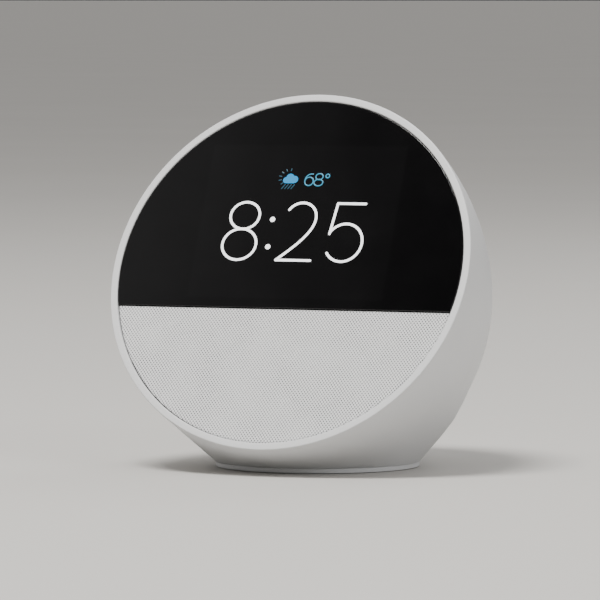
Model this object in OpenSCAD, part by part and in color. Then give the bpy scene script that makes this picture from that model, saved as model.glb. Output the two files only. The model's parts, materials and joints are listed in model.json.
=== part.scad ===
// Smart display: a rounded desk display with a tilted round face, a speaker behind a fabric
// grille under the screen, three buttons on top of the back, and a power inlet at the rear.
// +Z is up, the face looks towards -Y, and the origin is the centre of the foot's underside.

/* [Body] */
// Outer radius of the flat round face
face_r = 56.5; // [54:0.5:75]
// Lean of the face back from upright, in degrees
tilt = 25; // [20:1:31]
// Depth of the rounded back, measured behind the face
dome_depth = 83.5; // [69:0.5:110]
// Wall thickness of the housing
wall = 2.2; // [1.8:0.1:2.8]
// Height of the face's lowest edge above the table
rim_lift = 8.1; // [7:0.1:12]
// How far the face's lowest edge stands in front of the foot's centre
rim_reach = 46.2; // [42:0.1:50]
// Radius of the housing where it meets the base plate
base_r = 30.5; // [28:0.5:37]
// Radius of the belly just above the foot
skirt_r = 41; // [38:0.5:48]
// Height of that belly
skirt_z = 14; // [12:0.5:17]

/* [Base] */
// Thickness of the rubber foot pad
foot_t = 0.8; // [0.6:0.1:2]
// How far the foot pad stays inside the base plate's edge
foot_inset = 1.3; // [0.5:0.1:3]
// Thickness of the base plate's flange
flange_t = 0.8; // [0.8:0.1:1.6]
// Radius of the hole in the housing's floor
floor_hole_r = 21.8; // [18:0.1:23]
// Thickness of the steel weight on the base plate
weight_t = 2.2; // [1:0.1:2.6]

/* [Front] */
// Thickness of the cover lens
lens_t = 1.1; // [0.8:0.1:1.6]
// How far the lens lies below the rim
lens_recess = 0.2; // [0.1:0.1:0.6]
// Where the lens meets the grille, below the face's centre
split_v = 12; // [11:0.5:16]
// Thickness of the grille fabric
fabric_t = 0.5; // [0.3:0.1:0.8]
// How far the fabric lies below the rim
fabric_recess = 0.7; // [0.4:0.1:1]
// Radius of the holes in the grille plate
grille_hole_r = 1.6; // [1:0.1:1.8]
// Distance between neighbouring grille holes
grille_pitch = 4.4; // [4.2:0.1:6]

/* [Screen] */
// Width of the display panel
lcd_w = 62; // [50:0.5:64]
// Height of the display panel
lcd_h = 49; // [40:0.5:50]
// Height of the display's centre above the face's centre
lcd_v = 15.5; // [14:0.5:17]

/* [Speaker] */
// Radius of the speaker's mounting flange
speaker_r = 20; // [18:0.5:20.5]
// Depth of the speaker chamber behind the face
chamber_depth = 34; // [29:0.5:42]
// Wall thickness of the speaker chamber
chamber_wall = 1.5; // [1.2:0.1:2]
// Travel of the speaker cone each way
cone_travel = 1.0; // [0.5:0.1:1.2]

/* [Buttons] */
// Radius of a button cap
button_r = 4.6; // [4:0.1:5.8]
// Clearance round a button cap
button_gap = 0.25; // [0.2:0.05:0.4]
// How far a button stands out of the housing
button_proud = 0.6; // [0.5:0.1:1.2]
// Distance of the row of buttons behind the face
button_s = 30; // [28:0.5:36]
// Space between a button's lip and the microphone seal beside it
button_web = 0.35; // [0.3:0.05:2]
// Travel of a button
button_travel = 0.4; // [0.3:0.05:0.5]

/* [Power inlet] */
// Radius of the hole that the plug goes through
inlet_r = 4.25; // [3.6:0.05:5.1]
// Height of the hole's axis above the table
inlet_z = 34; // [32:0.5:40]
// Length of the hole
inlet_len = 3.0; // [2.5:0.1:4]

/* [Hidden] */

$fn = 96;
far = 4 * (face_r + dome_depth);
cut = 1;
skin = 0.5;

shell_white = [0.88, 0.88, 0.87];
fabric_grey = [0.80, 0.80, 0.79];
glass_black = [0.03, 0.03, 0.035];
board_green = [0.08, 0.28, 0.16];
steel_grey = [0.62, 0.62, 0.64];
dark_plastic = [0.13, 0.13, 0.14];
copper = [0.72, 0.42, 0.25];

// The face: its own x runs along +X, y up the face and z out of it
face_y = face_r * sin(tilt) - rim_reach;
face_z = rim_lift + face_r * cos(tilt);
opening_r = face_r - wall;
module on_face() translate([0, face_y, face_z]) rotate([90 - tilt, 0, 0]) children();

// Housing
shell_z = foot_t + flange_t;
inner_step = 0.3;
inner_r = opening_r - inner_step;
inner_depth = dome_depth - wall;
floor_z = shell_z + wall;
shoulder_r = 0.858 * face_r;
shoulder_z = face_z - 0.519 * face_r;
function dome_r(s) = face_r * sqrt(1 - pow(s / dome_depth, 2));
function cavity_r(s) = inner_r * sqrt(1 - pow(s / inner_depth, 2));

// Y of the rounded back at height z, in the plane x = 0
dome_a = pow(sin(tilt) / face_r, 2) + pow(cos(tilt) / dome_depth, 2);
dome_b = 2 * sin(tilt) * cos(tilt) * (1 / pow(face_r, 2) - 1 / pow(dome_depth, 2));
dome_c = pow(cos(tilt) / face_r, 2) + pow(sin(tilt) / dome_depth, 2);
function dome_y_for(dz) =
    (-dome_b * dz + sqrt(pow(dome_b * dz, 2) - 4 * dome_a * (dome_c * dz * dz - 1))) / (2 * dome_a);
function back_y(z) = face_y + dome_y_for(z - face_z);

// Depths behind the rim, along the face's axis
lens_back = lens_recess + lens_t;
tape_t = 0.2;
pad_s = lens_back + tape_t;
grille_t = 1.6;
fabric_back = fabric_recess + fabric_t;
baffle_s = fabric_back + grille_t;
baffle_t = 2;
baffle_back = baffle_s + baffle_t;

// Radial and sideways clearances in the front
lens_r = opening_r - 0.2;
fabric_r = opening_r - 0.3;
frame_r = opening_r - 0.3;
grille_r = opening_r - 0.6;
split_gap = 0.15;
lens_edge = split_gap / 2 - split_v;
fabric_edge = -split_v - split_gap / 2;
pad_edge = lens_edge + 0.3;

// Display stack, front to back
touch_t = 0.3;
panel_t = 1.2;
light_t = 1.4;
tray_t = 0.4;
panel_s = lens_back + touch_t;
light_s = panel_s + panel_t;
tray_s = light_s + light_t;
tray_rim = 0.4;
window_gap = 0.2;
tray_w = lcd_w + 2 * tray_rim;
tray_h = lcd_h + 2 * tray_rim;
window_w = tray_w + 2 * window_gap;
window_h = tray_h + 2 * window_gap;
sensor_w = 3.6;
sensor_t = 1.2;
sensor_v = (lcd_v + window_h / 2 + frame_r) / 2;

// Speaker, on an axis parallel to the face's
chamber_reach = opening_r - 1.1;
chamber_play = 0.3;
speaker_v = speaker_r + chamber_play + chamber_wall - chamber_reach;
cone_hole_r = speaker_r - 3;
gasket_t = 0.5;
flange_s = baffle_back + gasket_t;
basket_t = 1;
basket_hole_r = speaker_r - 4;
basket_back_r = speaker_r - 7;
basket_s = flange_s + basket_t + 5.7 + cone_travel;
magnet_r = speaker_r - 8;
coil_r = magnet_r - 4.7;
coil_t = 0.4;
winding_t = 0.4;
magnet_gap = 0.5;
pole_r = coil_r - coil_t - 2 * magnet_gap;
plate_hole_r = coil_r + winding_t + magnet_gap;
plate_t = 2;
plate_s = basket_s + basket_t;
magnet_t = 6;
magnet_s = plate_s + plate_t;
yoke_t = 2.5;
yoke_s = magnet_s + magnet_t;
winding_over = 0.6;
roll_r = 1.3;
roll_out_r = basket_hole_r;
roll_in_r = roll_out_r - 2 * roll_r;
cone_t = 0.5;
cone_depth = 4.6;
glue = 0.02;
screw_ring_r = speaker_r - 1.4;
fine_head_r = 1.35;
fine_shank_r = 0.8;
terminal_angle = -30;
wire_r = 0.6;
wire_space = 1.7;
wire_hole_r = wire_space / 2 + wire_r + 0.7;
wire_s = 15;
wire_x = -screw_ring_r * sin(terminal_angle);
wire_v = speaker_v + screw_ring_r * cos(terminal_angle);
module on_speaker() on_face() translate([0, speaker_v, 0]) children();

// Speaker chamber
chamber_r = speaker_r + chamber_play + chamber_wall;
chamber_z = 6;
ear_r = 3.2;
ear_t = 3;
ear_x = chamber_r * cos(40) + ear_r;
ear_v = speaker_v + chamber_r * sin(40);

// Main board behind the screen
board_s = 20;
board_t = 1.6;
board_back = board_s + board_t;
post_r = 2.6;
post_x = window_w / 2 + post_r + 0.3;
board_w = 2 * (post_x + 3.5);
board_low = speaker_v + chamber_r + 4;
board_clip_r = cavity_r(board_back) - 3.5;
post_low = board_low + 3.5;
post_high = lcd_v + 14.5;
board_h = post_high + 4.4 - board_low;
posts = [for (x = [-post_x, post_x], v = [post_low, post_high]) [x, v]];
chip_v = board_low + board_h / 2 + 2;
can_w = 30;
can_h = 24;
can_t = 2.2;
fin_n = 7;
fin_t = 1.2;
fin_h = 5;
sink_t = 1.5;

// Frame screws and their bosses in the housing
boss_r = 3.2;
boss_len = 10;
boss_ring_r = opening_r - 4;
boss_angles = [20, 160, -38, -142];
head_r = 2.1;
head_t = 1.2;
shank_r = 1.1;

// Buttons along the dome, each on its own outward axis
button_rho = dome_r(button_s);
button_lean = atan2(button_s / pow(dome_depth, 2), button_rho / pow(face_r, 2));
module at_button(a) on_face() rotate([0, 0, a]) translate([0, button_rho, -button_s])
    rotate([-90 - button_lean, 0, 0]) children();
button_lip_r = button_r + 0.9;
lip_sag = pow(button_lip_r, 2) / (2 * cavity_r(button_s));
lip_z = -(wall + inner_step + lip_sag + 0.4);
lip_t = 0.7;
mic_seal_r = 1.7;
button_pitch = 2 * (button_lip_r + mic_seal_r + button_web);
button_step = button_pitch / (button_rho + lip_z) * 180 / PI;
button_angles = [button_step, 0, -button_step];
stem_r = 1.5;
stem_end = lip_z - lip_t - 1.6;
plunger_r = 1.7;
plunger_len = 1.7;
switch_w = 6;
switch_top = stem_end - 1;
switch_t = 3.4;
pocket_gap = 0.2;
pocket_depth = plunger_len - 1 + button_travel + 0.4;
strip_top = switch_top - switch_t - 0.05;
strip_t = 0.8;
strip_w = 8;
bracket_top = strip_top - strip_t;
bracket_t = 1.5;
bracket_w = 10;
strip_reach = 1.5 * button_step;
hook_angle = 1.95 * button_step;
mic_angle = button_step / 2;
mic_t = 1.1;
mic_hole_r = 0.7;
mic_seal_end = -(wall + inner_step + 0.15);

// Power inlet, on an axis along +Y
inlet_rim_r = inlet_r + 1.35;
inlet_face_y = back_y(inlet_z - inlet_rim_r) - 0.5;
inlet_boss_r = inlet_rim_r + 1.8;
inlet_back_y = inlet_face_y - inlet_len;
jack_front_y = inlet_back_y - 0.4;
jack_w = 11;
jack_h = 9;
jack_d = 12;
jack_nose = 2;
jack_nose_r = 3.9;
socket_r = 2.8;
socket_depth = 9.5;
jack_pin_r = 1;
jack_body_y = jack_front_y - jack_nose;
jack_board_t = 1.2;
jack_board_w = 22;
jack_board_d = 15;
jack_board_top = inlet_z - jack_h / 2;
jack_board_y = jack_body_y - jack_d / 2;
jack_post_x = jack_board_w / 2 - 2.6;

// Base
plug_r = floor_hole_r - 0.3;
plug_z = floor_z + 0.2;
plug_wall = 1.5;
base_screw_r = (floor_hole_r + base_r) / 2;
base_screw_angles = [90, 210, 330];
base_boss_r = 2.6;
base_boss_top = chamber_z - 0.4;
foot_r = base_r - 0.2 - foot_inset;

// A tube along a list of points
function unit(v) = v / norm(v);
function path_dir(p, i) = unit(p[min(i + 1, len(p) - 1)] - p[max(i - 1, 0)]);
module tube(points, r, sides = 8) {
    side_ref = [0.3, 0.1, 0.95];
    rings = [
        for (i = [0 : len(points) - 1])
            let (t = path_dir(points, i), a = unit(cross(t, side_ref)), b = cross(t, a))
                for (k = [0 : sides - 1])
                    points[i] + r * (cos(360 * k / sides) * a + sin(360 * k / sides) * b)
    ];
    last = (len(points) - 1) * sides;
    walls = [
        for (i = [0 : len(points) - 2], k = [0 : sides - 1])
            let (here = i * sides, next = here + sides, turn = (k + 1) % sides)
                [here + k, here + turn, next + turn, next + k]
    ];
    ends = [[for (k = [sides - 1 : -1 : 0]) k], [for (k = [0 : sides - 1]) last + k]];
    polyhedron(rings, concat(walls, ends));
}

// A pan-head screw with a hex socket: its head stands on z = 0 and its shank runs down
module screw(length, r = shank_r, wide = head_r, tall = head_t) {
    difference() {
        union() {
            cylinder(r = wide, h = tall, $fn = 32);
            translate([0, 0, -length]) cylinder(r = r, h = length + tall / 2, $fn = 32);
        }
        translate([0, 0, tall / 2]) cylinder(r = wide / 2, h = tall, $fn = 6);
    }
}

// A slab behind the rim: from depth s, t thick
module slab(s, t) translate([0, 0, -s - t]) linear_extrude(t) children();

// The part of a disc above or below a line across it
module disc_above(r, v) intersection() {
    circle(r);
    translate([-far, v]) square([2 * far, far]);
}
module disc_below(r, v) intersection() {
    circle(r);
    translate([-far, v - far]) square([2 * far, far]);
}
module window(w, h) translate([-w / 2, lcd_v - h / 2]) square([w, h]);

// The housing's form, or the hollow in it, set in by the wall: a dome on the face's axis and a
// belly on the foot's axis, both cut off level at the floor
module body_form(inset, radius, front, floor) {
    bands = 24;
    depth = dome_depth - inset;
    difference() {
        union() {
            on_face() rotate_extrude() polygon(concat(
                [[0, 0]],
                [for (i = [0 : bands]) [radius * cos(90 * i / bands), -depth * sin(90 * i / bands)]]
            ));
            intersection() {
                rotate_extrude() polygon([
                    [0, floor],
                    [base_r - inset, floor],
                    [skirt_r - inset, skirt_z],
                    [shoulder_r - inset, shoulder_z],
                    [0, shoulder_z]
                ]);
                on_face() translate([-far, -far, -2 * far]) cube([2 * far, 2 * far, 2 * far - front]);
            }
        }
        translate([-far, -far, floor - 2 * far]) cube(2 * far);
    }
}

module housing_bosses() {
    for (a = boss_angles)
        on_face() rotate([0, 0, a]) translate([boss_ring_r, 0, -baffle_back - boss_len])
            cylinder(r = boss_r, h = boss_len, $fn = 48);
    for (a = [-hook_angle, hook_angle])
        at_button(a) translate([0, 0, bracket_top]) cylinder(r = boss_r, h = -bracket_top, $fn = 48);
    for (a = base_screw_angles)
        rotate([0, 0, a]) translate([base_screw_r, 0, 0])
            cylinder(r = base_boss_r, h = base_boss_top, $fn = 48);
    for (x = [-jack_post_x, jack_post_x])
        translate([x, jack_board_y, 0]) cylinder(r = 2.6, h = jack_board_top - jack_board_t, $fn = 48);
    translate([0, inlet_back_y, inlet_z]) rotate([-90, 0, 0]) cylinder(r = inlet_boss_r, h = far);
}

module housing_holes() {
    for (a = boss_angles)
        on_face() rotate([0, 0, a]) translate([boss_ring_r, 0, -baffle_back - boss_len + 2])
            cylinder(r = shank_r, h = boss_len, $fn = 32);
    for (a = [-hook_angle, hook_angle])
        at_button(a) translate([0, 0, bracket_top - cut]) cylinder(r = shank_r, h = 5 + cut, $fn = 32);
    for (a = base_screw_angles)
        rotate([0, 0, a]) translate([base_screw_r, 0, 0])
            cylinder(r = shank_r, h = base_boss_top - 0.2, $fn = 32);
    for (x = [-jack_post_x, jack_post_x])
        translate([x, jack_board_y, jack_board_top - jack_board_t - 5])
            cylinder(r = shank_r, h = 5 + cut, $fn = 32);
    for (a = button_angles)
        at_button(a) translate([0, 0, lip_z]) cylinder(r = button_r + button_gap, h = -2 * lip_z);
    for (a = [-mic_angle, mic_angle])
        at_button(a) translate([0, 0, 2 * mic_seal_end])
            cylinder(r = mic_hole_r, h = -4 * mic_seal_end, $fn = 32);
    translate([0, inlet_back_y - cut, inlet_z]) rotate([-90, 0, 0]) cylinder(r = inlet_r, h = far / 2);
    translate([0, inlet_face_y, inlet_z]) rotate([-90, 0, 0]) cylinder(r = inlet_rim_r, h = far / 2);
    cylinder(r = floor_hole_r, h = floor_z + skin);
}

module housing() {
    color(shell_white) difference() {
        body_form(0, face_r, 0, shell_z);
        difference() {
            body_form(wall, inner_r, baffle_back, floor_z);
            housing_bosses();
        }
        on_face() translate([0, 0, -baffle_back]) cylinder(r = opening_r, h = baffle_back + cut, $fn = 128);
        housing_holes();
    }
}

module base_plate() {
    color(shell_white) difference() {
        union() {
            translate([0, 0, foot_t]) cylinder(r = base_r - 0.2, h = flange_t);
            translate([0, 0, foot_t]) cylinder(r = plug_r, h = plug_z - foot_t);
        }
        translate([0, 0, shell_z]) cylinder(r = plug_r - plug_wall, h = plug_z);
        for (a = base_screw_angles)
            rotate([0, 0, a]) translate([base_screw_r, 0, foot_t])
                cylinder(r1 = head_r, r2 = shank_r + 0.1, h = flange_t, $fn = 32);
    }
}

module foot_pad() {
    edge = foot_t / 3;
    color(dark_plastic) rotate_extrude()
        polygon([[0, 0], [foot_r - edge, 0], [foot_r, edge], [foot_r, foot_t], [0, foot_t]]);
}

module base_weight() {
    color(steel_grey) translate([0, 0, shell_z]) cylinder(r = plug_r - plug_wall - 0.3, h = weight_t);
}

module base_screws() {
    color(steel_grey) for (a = base_screw_angles)
        rotate([0, 0, a]) translate([base_screw_r, 0, foot_t + 0.05]) {
            cylinder(r1 = head_r - 0.1, r2 = shank_r, h = flange_t - 0.05, $fn = 32);
            translate([0, 0, flange_t - 0.1])
                cylinder(r = shank_r, h = base_boss_top - shell_z - 0.4, $fn = 32);
        }
}

// Front
module cover_lens() {
    color(glass_black) on_face() slab(lens_recess, lens_t) disc_above(lens_r, lens_edge);
}

module sensor_window(gap) translate([-sensor_w / 2 - gap, sensor_v - sensor_w / 2 - gap])
    square(sensor_w + 2 * gap);

module lens_tape() {
    color(dark_plastic) on_face() slab(lens_back, tape_t) difference() {
        disc_above(frame_r - 0.4, pad_edge + 0.2);
        window(window_w, window_h);
        sensor_window(0.2);
    }
}

module touch_sensor() {
    color([0.35, 0.38, 0.42]) on_face() slab(lens_back, touch_t) window(lcd_w, lcd_h);
}

module lcd_panel() {
    color([0.10, 0.11, 0.13]) on_face() slab(panel_s, panel_t) window(lcd_w, lcd_h);
}

module backlight() {
    color([0.93, 0.94, 0.96]) on_face() slab(light_s, light_t) window(lcd_w, lcd_h);
}

module lcd_tray() {
    play = 0.05;
    color(steel_grey) on_face() difference() {
        slab(panel_s, tray_s + tray_t - panel_s) window(tray_w, tray_h);
        slab(panel_s - cut, tray_s - panel_s + cut) window(lcd_w + 2 * play, lcd_h + 2 * play);
    }
}

module light_sensor() {
    color([0.2, 0.2, 0.24]) on_face() slab(pad_s, sensor_t) sensor_window(0);
}

module front_frame() {
    seat = baffle_s + head_t + 0.1;
    color(dark_plastic) on_face() difference() {
        union() {
            slab(baffle_s, baffle_t) circle(frame_r);
            slab(pad_s, baffle_back - pad_s) disc_above(frame_r, pad_edge);
            for (p = posts)
                translate([p[0], p[1], -board_s])
                    cylinder(r = post_r, h = board_s - baffle_back + skin, $fn = 48);
        }
        slab(0, far) window(window_w, window_h);
        slab(pad_s - cut, sensor_t + cut) sensor_window(0.15);
        translate([0, speaker_v, -baffle_back - cut]) cylinder(r = cone_hole_r, h = baffle_back);
        for (a = boss_angles)
            rotate([0, 0, a]) translate([boss_ring_r, 0, 0]) {
                translate([0, 0, -baffle_back - cut]) cylinder(r = shank_r + 0.2, h = baffle_back, $fn = 32);
                translate([0, 0, -seat]) cylinder(r = head_r + 0.3, h = seat, $fn = 48);
            }
        for (p = posts)
            translate([p[0], p[1], -board_s - cut]) cylinder(r = shank_r, h = 6 + cut, $fn = 32);
        for (x = [-ear_x, ear_x])
            translate([x, ear_v, -baffle_back - cut]) cylinder(r = shank_r, h = 1.5 + cut, $fn = 32);
        for (a = [0 : 90 : 270])
            translate([0, speaker_v, -baffle_back - cut]) rotate([0, 0, a]) translate([screw_ring_r, 0, 0])
                cylinder(r = fine_shank_r, h = 1.5 + cut, $fn = 32);
    }
}

module front_screws() {
    color(steel_grey) for (a = boss_angles)
        on_face() rotate([0, 0, a]) translate([boss_ring_r, 0, -baffle_s - head_t - 0.1]) screw(7);
}

module grille_plate() {
    row = grille_pitch * sin(60);
    n = ceil(cone_hole_r / row);
    color(dark_plastic) on_face() slab(fabric_back, grille_t) difference() {
        disc_below(grille_r, fabric_edge - 0.3);
        for (j = [-n : n], i = [-n : n])
            let (p = [(i + abs(j) % 2 / 2) * grille_pitch, j * row])
                if (norm(p) < cone_hole_r - grille_hole_r)
                    translate([p[0], speaker_v + p[1]]) circle(grille_hole_r, $fn = 24);
    }
}

module grille_fabric() {
    color(fabric_grey) on_face() slab(fabric_recess, fabric_t) disc_below(fabric_r, fabric_edge);
}

// Speaker
module ring(outer, inner) difference() {
    circle(outer);
    circle(inner);
}

module speaker_gasket() {
    color([0.2, 0.2, 0.2]) on_speaker() slab(baffle_back, gasket_t) difference() {
        ring(speaker_r, cone_hole_r + 0.2);
        for (a = [0 : 90 : 270])
            rotate(a) translate([screw_ring_r, 0]) circle(fine_shank_r + 0.2, $fn = 32);
    }
}

module speaker_basket() {
    color(steel_grey) on_speaker() difference() {
        rotate_extrude() polygon([
            [basket_hole_r, -flange_s],
            [speaker_r, -flange_s],
            [speaker_r, -flange_s - basket_t],
            [basket_hole_r + basket_t, -flange_s - basket_t],
            [basket_back_r + basket_t, -basket_s],
            [basket_back_r + basket_t, -plate_s],
            [plate_hole_r + 1, -plate_s],
            [plate_hole_r + 1, -basket_s],
            [basket_back_r, -basket_s],
            [basket_hole_r, -flange_s - basket_t]
        ]);
        for (a = [0 : 90 : 270])
            rotate([0, 0, a]) translate([screw_ring_r, 0, -flange_s - basket_t - cut])
                cylinder(r = fine_shank_r + 0.1, h = basket_t + 2 * cut, $fn = 32);
        for (a = [45 : 90 : 315])
            rotate([0, 0, a]) translate([basket_back_r / 2, 0, -(flange_s + basket_t + basket_s) / 2])
                rotate([0, 90, 0]) cylinder(r = 2.4, h = speaker_r, $fn = 32);
    }
}

module speaker_surround() {
    land = 0.9;
    skin_t = 0.35;
    mid = (roll_in_r + roll_out_r) / 2;
    color([0.08, 0.08, 0.08]) on_speaker() translate([0, 0, -flange_s]) rotate_extrude() {
        intersection() {
            translate([mid, 0]) ring(roll_r + skin_t / 2, roll_r - skin_t / 2);
            square([speaker_r, roll_r + skin_t]);
        }
        translate([roll_out_r - skin_t / 2, 0]) square([land, skin_t]);
        translate([roll_in_r - land, 0]) square([land + skin_t / 2, skin_t]);
    }
}

module speaker_spider() {
    waves = 3;
    steps = 12 * waves;
    height = 0.5;
    thick = 0.3;
    near = coil_r + glue;
    out = basket_back_r - glue;
    land = 1.2;
    line = [
        for (i = [0 : steps])
            let (t = i / steps)
                [near + t * (out - land - near), height * (1 - cos(360 * waves * (1 - t))) / 2]
    ];
    color([0.75, 0.62, 0.35]) on_speaker() translate([0, 0, glue - basket_s]) rotate_extrude() polygon(concat(
        line, [[out, 0], [out, thick]],
        [for (i = [steps : -1 : 0]) line[i] + [0, thick]]
    ));
}

// Height of the cone's front surface at radius r
cone_low = -flange_s - cone_depth;
cone_high = -flange_s - glue;
cone_rim_r = roll_in_r - 0.9;
function cone_z(r) = cone_low + (r - coil_r) / (cone_rim_r - coil_r) * (cone_high - cone_low);

module speaker_cone() {
    color([0.15, 0.15, 0.16]) on_speaker() rotate_extrude() polygon([
        [coil_r, cone_low],
        [cone_rim_r, cone_high],
        [roll_in_r - 0.2, cone_high],
        [roll_in_r - 0.2, cone_high - cone_t],
        [cone_rim_r + 0.2, cone_high - cone_t],
        [coil_r, cone_low - cone_t]
    ]);
}

module dust_cap() {
    cap_r = coil_r + 1.2;
    rise = 1.6;
    thick = 0.35;
    round_r = (cap_r * cap_r + rise * rise) / (2 * rise);
    color([0.12, 0.12, 0.13]) on_speaker() translate([0, 0, cone_z(cap_r) + glue])
        rotate_extrude() intersection() {
            translate([0, rise - round_r]) ring(round_r, round_r - thick);
            square([cap_r, rise + 1]);
        }
}

module voice_coil() {
    top = cone_low + 0.3;
    low = -magnet_s - winding_over;
    color(copper) on_speaker() {
        translate([0, 0, low]) linear_extrude(top - low) ring(coil_r, coil_r - coil_t);
        translate([0, 0, low]) linear_extrude(plate_t + 2 * winding_over)
            ring(coil_r + winding_t, coil_r - coil_t / 2);
    }
}

module top_plate() {
    color(steel_grey) on_speaker() slab(plate_s, plate_t) ring(magnet_r - 0.5, plate_hole_r);
}

module speaker_magnet() {
    color([0.22, 0.22, 0.24]) on_speaker() slab(magnet_s, magnet_t) ring(magnet_r, plate_hole_r);
}

module speaker_yoke() {
    color(steel_grey) on_speaker() {
        slab(yoke_s, yoke_t) circle(magnet_r);
        slab(plate_s, yoke_s - plate_s + skin) circle(pole_r);
    }
}

module speaker_terminals() {
    block_t = 1.2;
    top = flange_s + basket_t;
    color([0.55, 0.42, 0.22]) on_speaker() rotate([0, 0, terminal_angle]) {
        translate([-4, screw_ring_r - 0.6, -top - block_t]) cube([8, 1.6, block_t]);
        for (x = [-2, 2])
            translate([x - 0.9, screw_ring_r - 0.2, -top - block_t - 2]) cube([1.8, 0.6, 2 + skin]);
    }
}

module speaker_screws() {
    color(steel_grey) on_speaker() for (a = [0 : 90 : 270])
        rotate([0, 0, a]) translate([screw_ring_r, 0, -flange_s - basket_t]) rotate([180, 0, 0])
            screw(2.6, fine_shank_r, fine_head_r, 0.9);
}

// Points of a lead in the face's frame: x, height up the face, depth behind the rim
module face_tube(points, r) on_face() tube([for (p = points) [p[0], p[1], -p[2]]], r);

module speaker_wires() {
    start_s = flange_s + basket_t + 3.2 + wire_r;
    for (side = [-1, 1]) let (x = wire_x + side * wire_space / 2)
        color(side > 0 ? [0.7, 0.1, 0.1] : [0.12, 0.12, 0.12]) face_tube([
            [x, wire_v, start_s],
            [x, wire_v + 0.2, start_s + 1.5],
            [x, wire_v + 0.2, wire_s - 1.2],
            [x, wire_v + 0.9, wire_s - 0.3],
            [x, wire_v + 1.9, wire_s],
            [x, speaker_v + chamber_r + 1.5, wire_s],
            [x, board_low + 1.6, wire_s + 1],
            [x, board_low + 3, board_s - 2.5],
            [x, board_low + 3, board_s - 1]
        ], wire_r);
}

module chamber_form(inset, front, back) {
    intersection() {
        on_face() translate([0, speaker_v, -back]) cylinder(r = chamber_r - inset, h = back - front);
        on_face() translate([0, 0, -back]) cylinder(r = chamber_reach - inset, h = back - front);
        translate([-far, -far, chamber_z + inset]) cube(2 * far);
    }
}

module speaker_chamber() {
    color(dark_plastic) difference() {
        union() {
            chamber_form(0, baffle_back, chamber_depth);
            for (x = [-ear_x, ear_x])
                on_face() translate([x, ear_v, -baffle_back - ear_t])
                    cylinder(r = ear_r, h = ear_t, $fn = 48);
        }
        chamber_form(chamber_wall, baffle_back - cut, chamber_depth - chamber_wall);
        for (x = [-ear_x, ear_x])
            on_face() translate([x, ear_v, -baffle_back - ear_t - cut])
                cylinder(r = shank_r + 0.1, h = ear_t + 2 * cut, $fn = 32);
        on_face() translate([wire_x, speaker_v, -wire_s]) rotate([-90, 0, 0])
            cylinder(r = wire_hole_r, h = chamber_r + cut, $fn = 32);
    }
}

module chamber_screws() {
    color(steel_grey) for (x = [-ear_x, ear_x])
        on_face() translate([x, ear_v, -baffle_back - ear_t]) rotate([180, 0, 0]) screw(ear_t + 1.2);
}

// Main board
module main_board() {
    color(board_green) on_face() difference() {
        slab(board_s, board_t) intersection() {
            translate([-board_w / 2, board_low]) square([board_w, board_h]);
            circle(board_clip_r);
        }
        for (p = posts)
            translate([p[0], p[1], -far / 2]) cylinder(r = shank_r + 0.1, h = far / 2, $fn = 32);
    }
}

module on_board_front(x, v, w, h, t) translate([x - w / 2, v - h / 2, -board_s]) cube([w, h, t]);
module on_board_back(x, v, w, h, t) translate([x - w / 2, v - h / 2, -board_back - t]) cube([w, h, t]);

connector_t = 1;
ribbon_w = 12;
strip_ribbon_w = 8;
ribbon_t = 0.15;
ribbon_v = max(board_low + 8, lcd_v - window_h / 2 + 7);
lead_x = 24;
lead_v = board_low + 7;
lead_plug_t = 3;

module board_parts() {
    color(dark_plastic) on_face() {
        on_board_front(0, ribbon_v, ribbon_w + 4, 4, connector_t);
        on_board_front(wire_x, board_low + 3, 6, 3, connector_t);
        on_board_back(0, chip_v, 14, 14, 1.2);
        on_board_back(lead_x, lead_v, 7, 6, lead_plug_t);
        on_board_back(0, board_low + board_h - 3.5, 12, 3, connector_t);
        for (v = [8, 20])
            on_board_back(-24, board_low + v, 9, 8, 1.2);
        for (i = [0 : 4])
            on_board_back(-14 + 6 * i, board_low + 3, 2.4, 2, 0.9);
        for (v = [17, 25])
            translate([lead_x, board_low + v, -board_back - 5]) cylinder(r = 2.6, h = 5, $fn = 32);
    }
}

module shield_can() {
    skin_t = 0.3;
    color(steel_grey) on_face() difference() {
        on_board_back(0, chip_v, can_w, can_h, can_t);
        translate([0, 0, skin_t]) on_board_back(0, chip_v, can_w - 2 * skin_t, can_h - 2 * skin_t, can_t);
    }
}

module heat_sink() {
    w = can_w - 2;
    h = can_h - 2;
    back = board_back + can_t + sink_t;
    color(steel_grey) on_face() {
        translate([-w / 2, chip_v - h / 2, -back]) cube([w, h, sink_t]);
        for (i = [0 : fin_n - 1])
            translate([-w / 2 + i * (w - fin_t) / (fin_n - 1), chip_v - h / 2, -back - fin_h])
                cube([fin_t, h, fin_h + sink_t / 2]);
    }
}

module board_screws() {
    color(steel_grey) for (p = posts)
        on_face() translate([p[0], p[1], -board_back]) rotate([180, 0, 0]) screw(6);
}

module antennas() {
    deep = 12;
    tall = 18;
    thick = 0.8;
    low = (post_low + post_high - tall) / 2;
    color([0.35, 0.25, 0.12]) for (side = [-1, 1])
        on_face() translate([side * (board_w / 2 - 2) - thick / 2, low, -board_back - deep])
            cube([thick, tall, deep]);
}

module display_ribbon() {
    front = tray_s + tray_t;
    back = board_s - connector_t;
    color([0.80, 0.50, 0.15]) on_face() translate([-ribbon_w / 2, 0, 0]) {
        translate([0, ribbon_v - 6, -front - ribbon_t]) cube([ribbon_w, 6, ribbon_t]);
        translate([0, ribbon_v - ribbon_t, -back]) cube([ribbon_w, ribbon_t, back - front]);
        translate([0, ribbon_v - ribbon_t, -back]) cube([ribbon_w, 2, ribbon_t]);
    }
}

// Buttons
module arc_strip(top, t, w, reach) {
    on_face() rotate([0, 0, 90 - reach]) rotate_extrude(angle = 2 * reach)
        translate([button_rho, -button_s]) rotate(-button_lean) translate([top - t, -w / 2]) square([t, w]);
}

module button_board() {
    color(board_green) arc_strip(strip_top, strip_t, strip_w, strip_reach);
}

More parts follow.
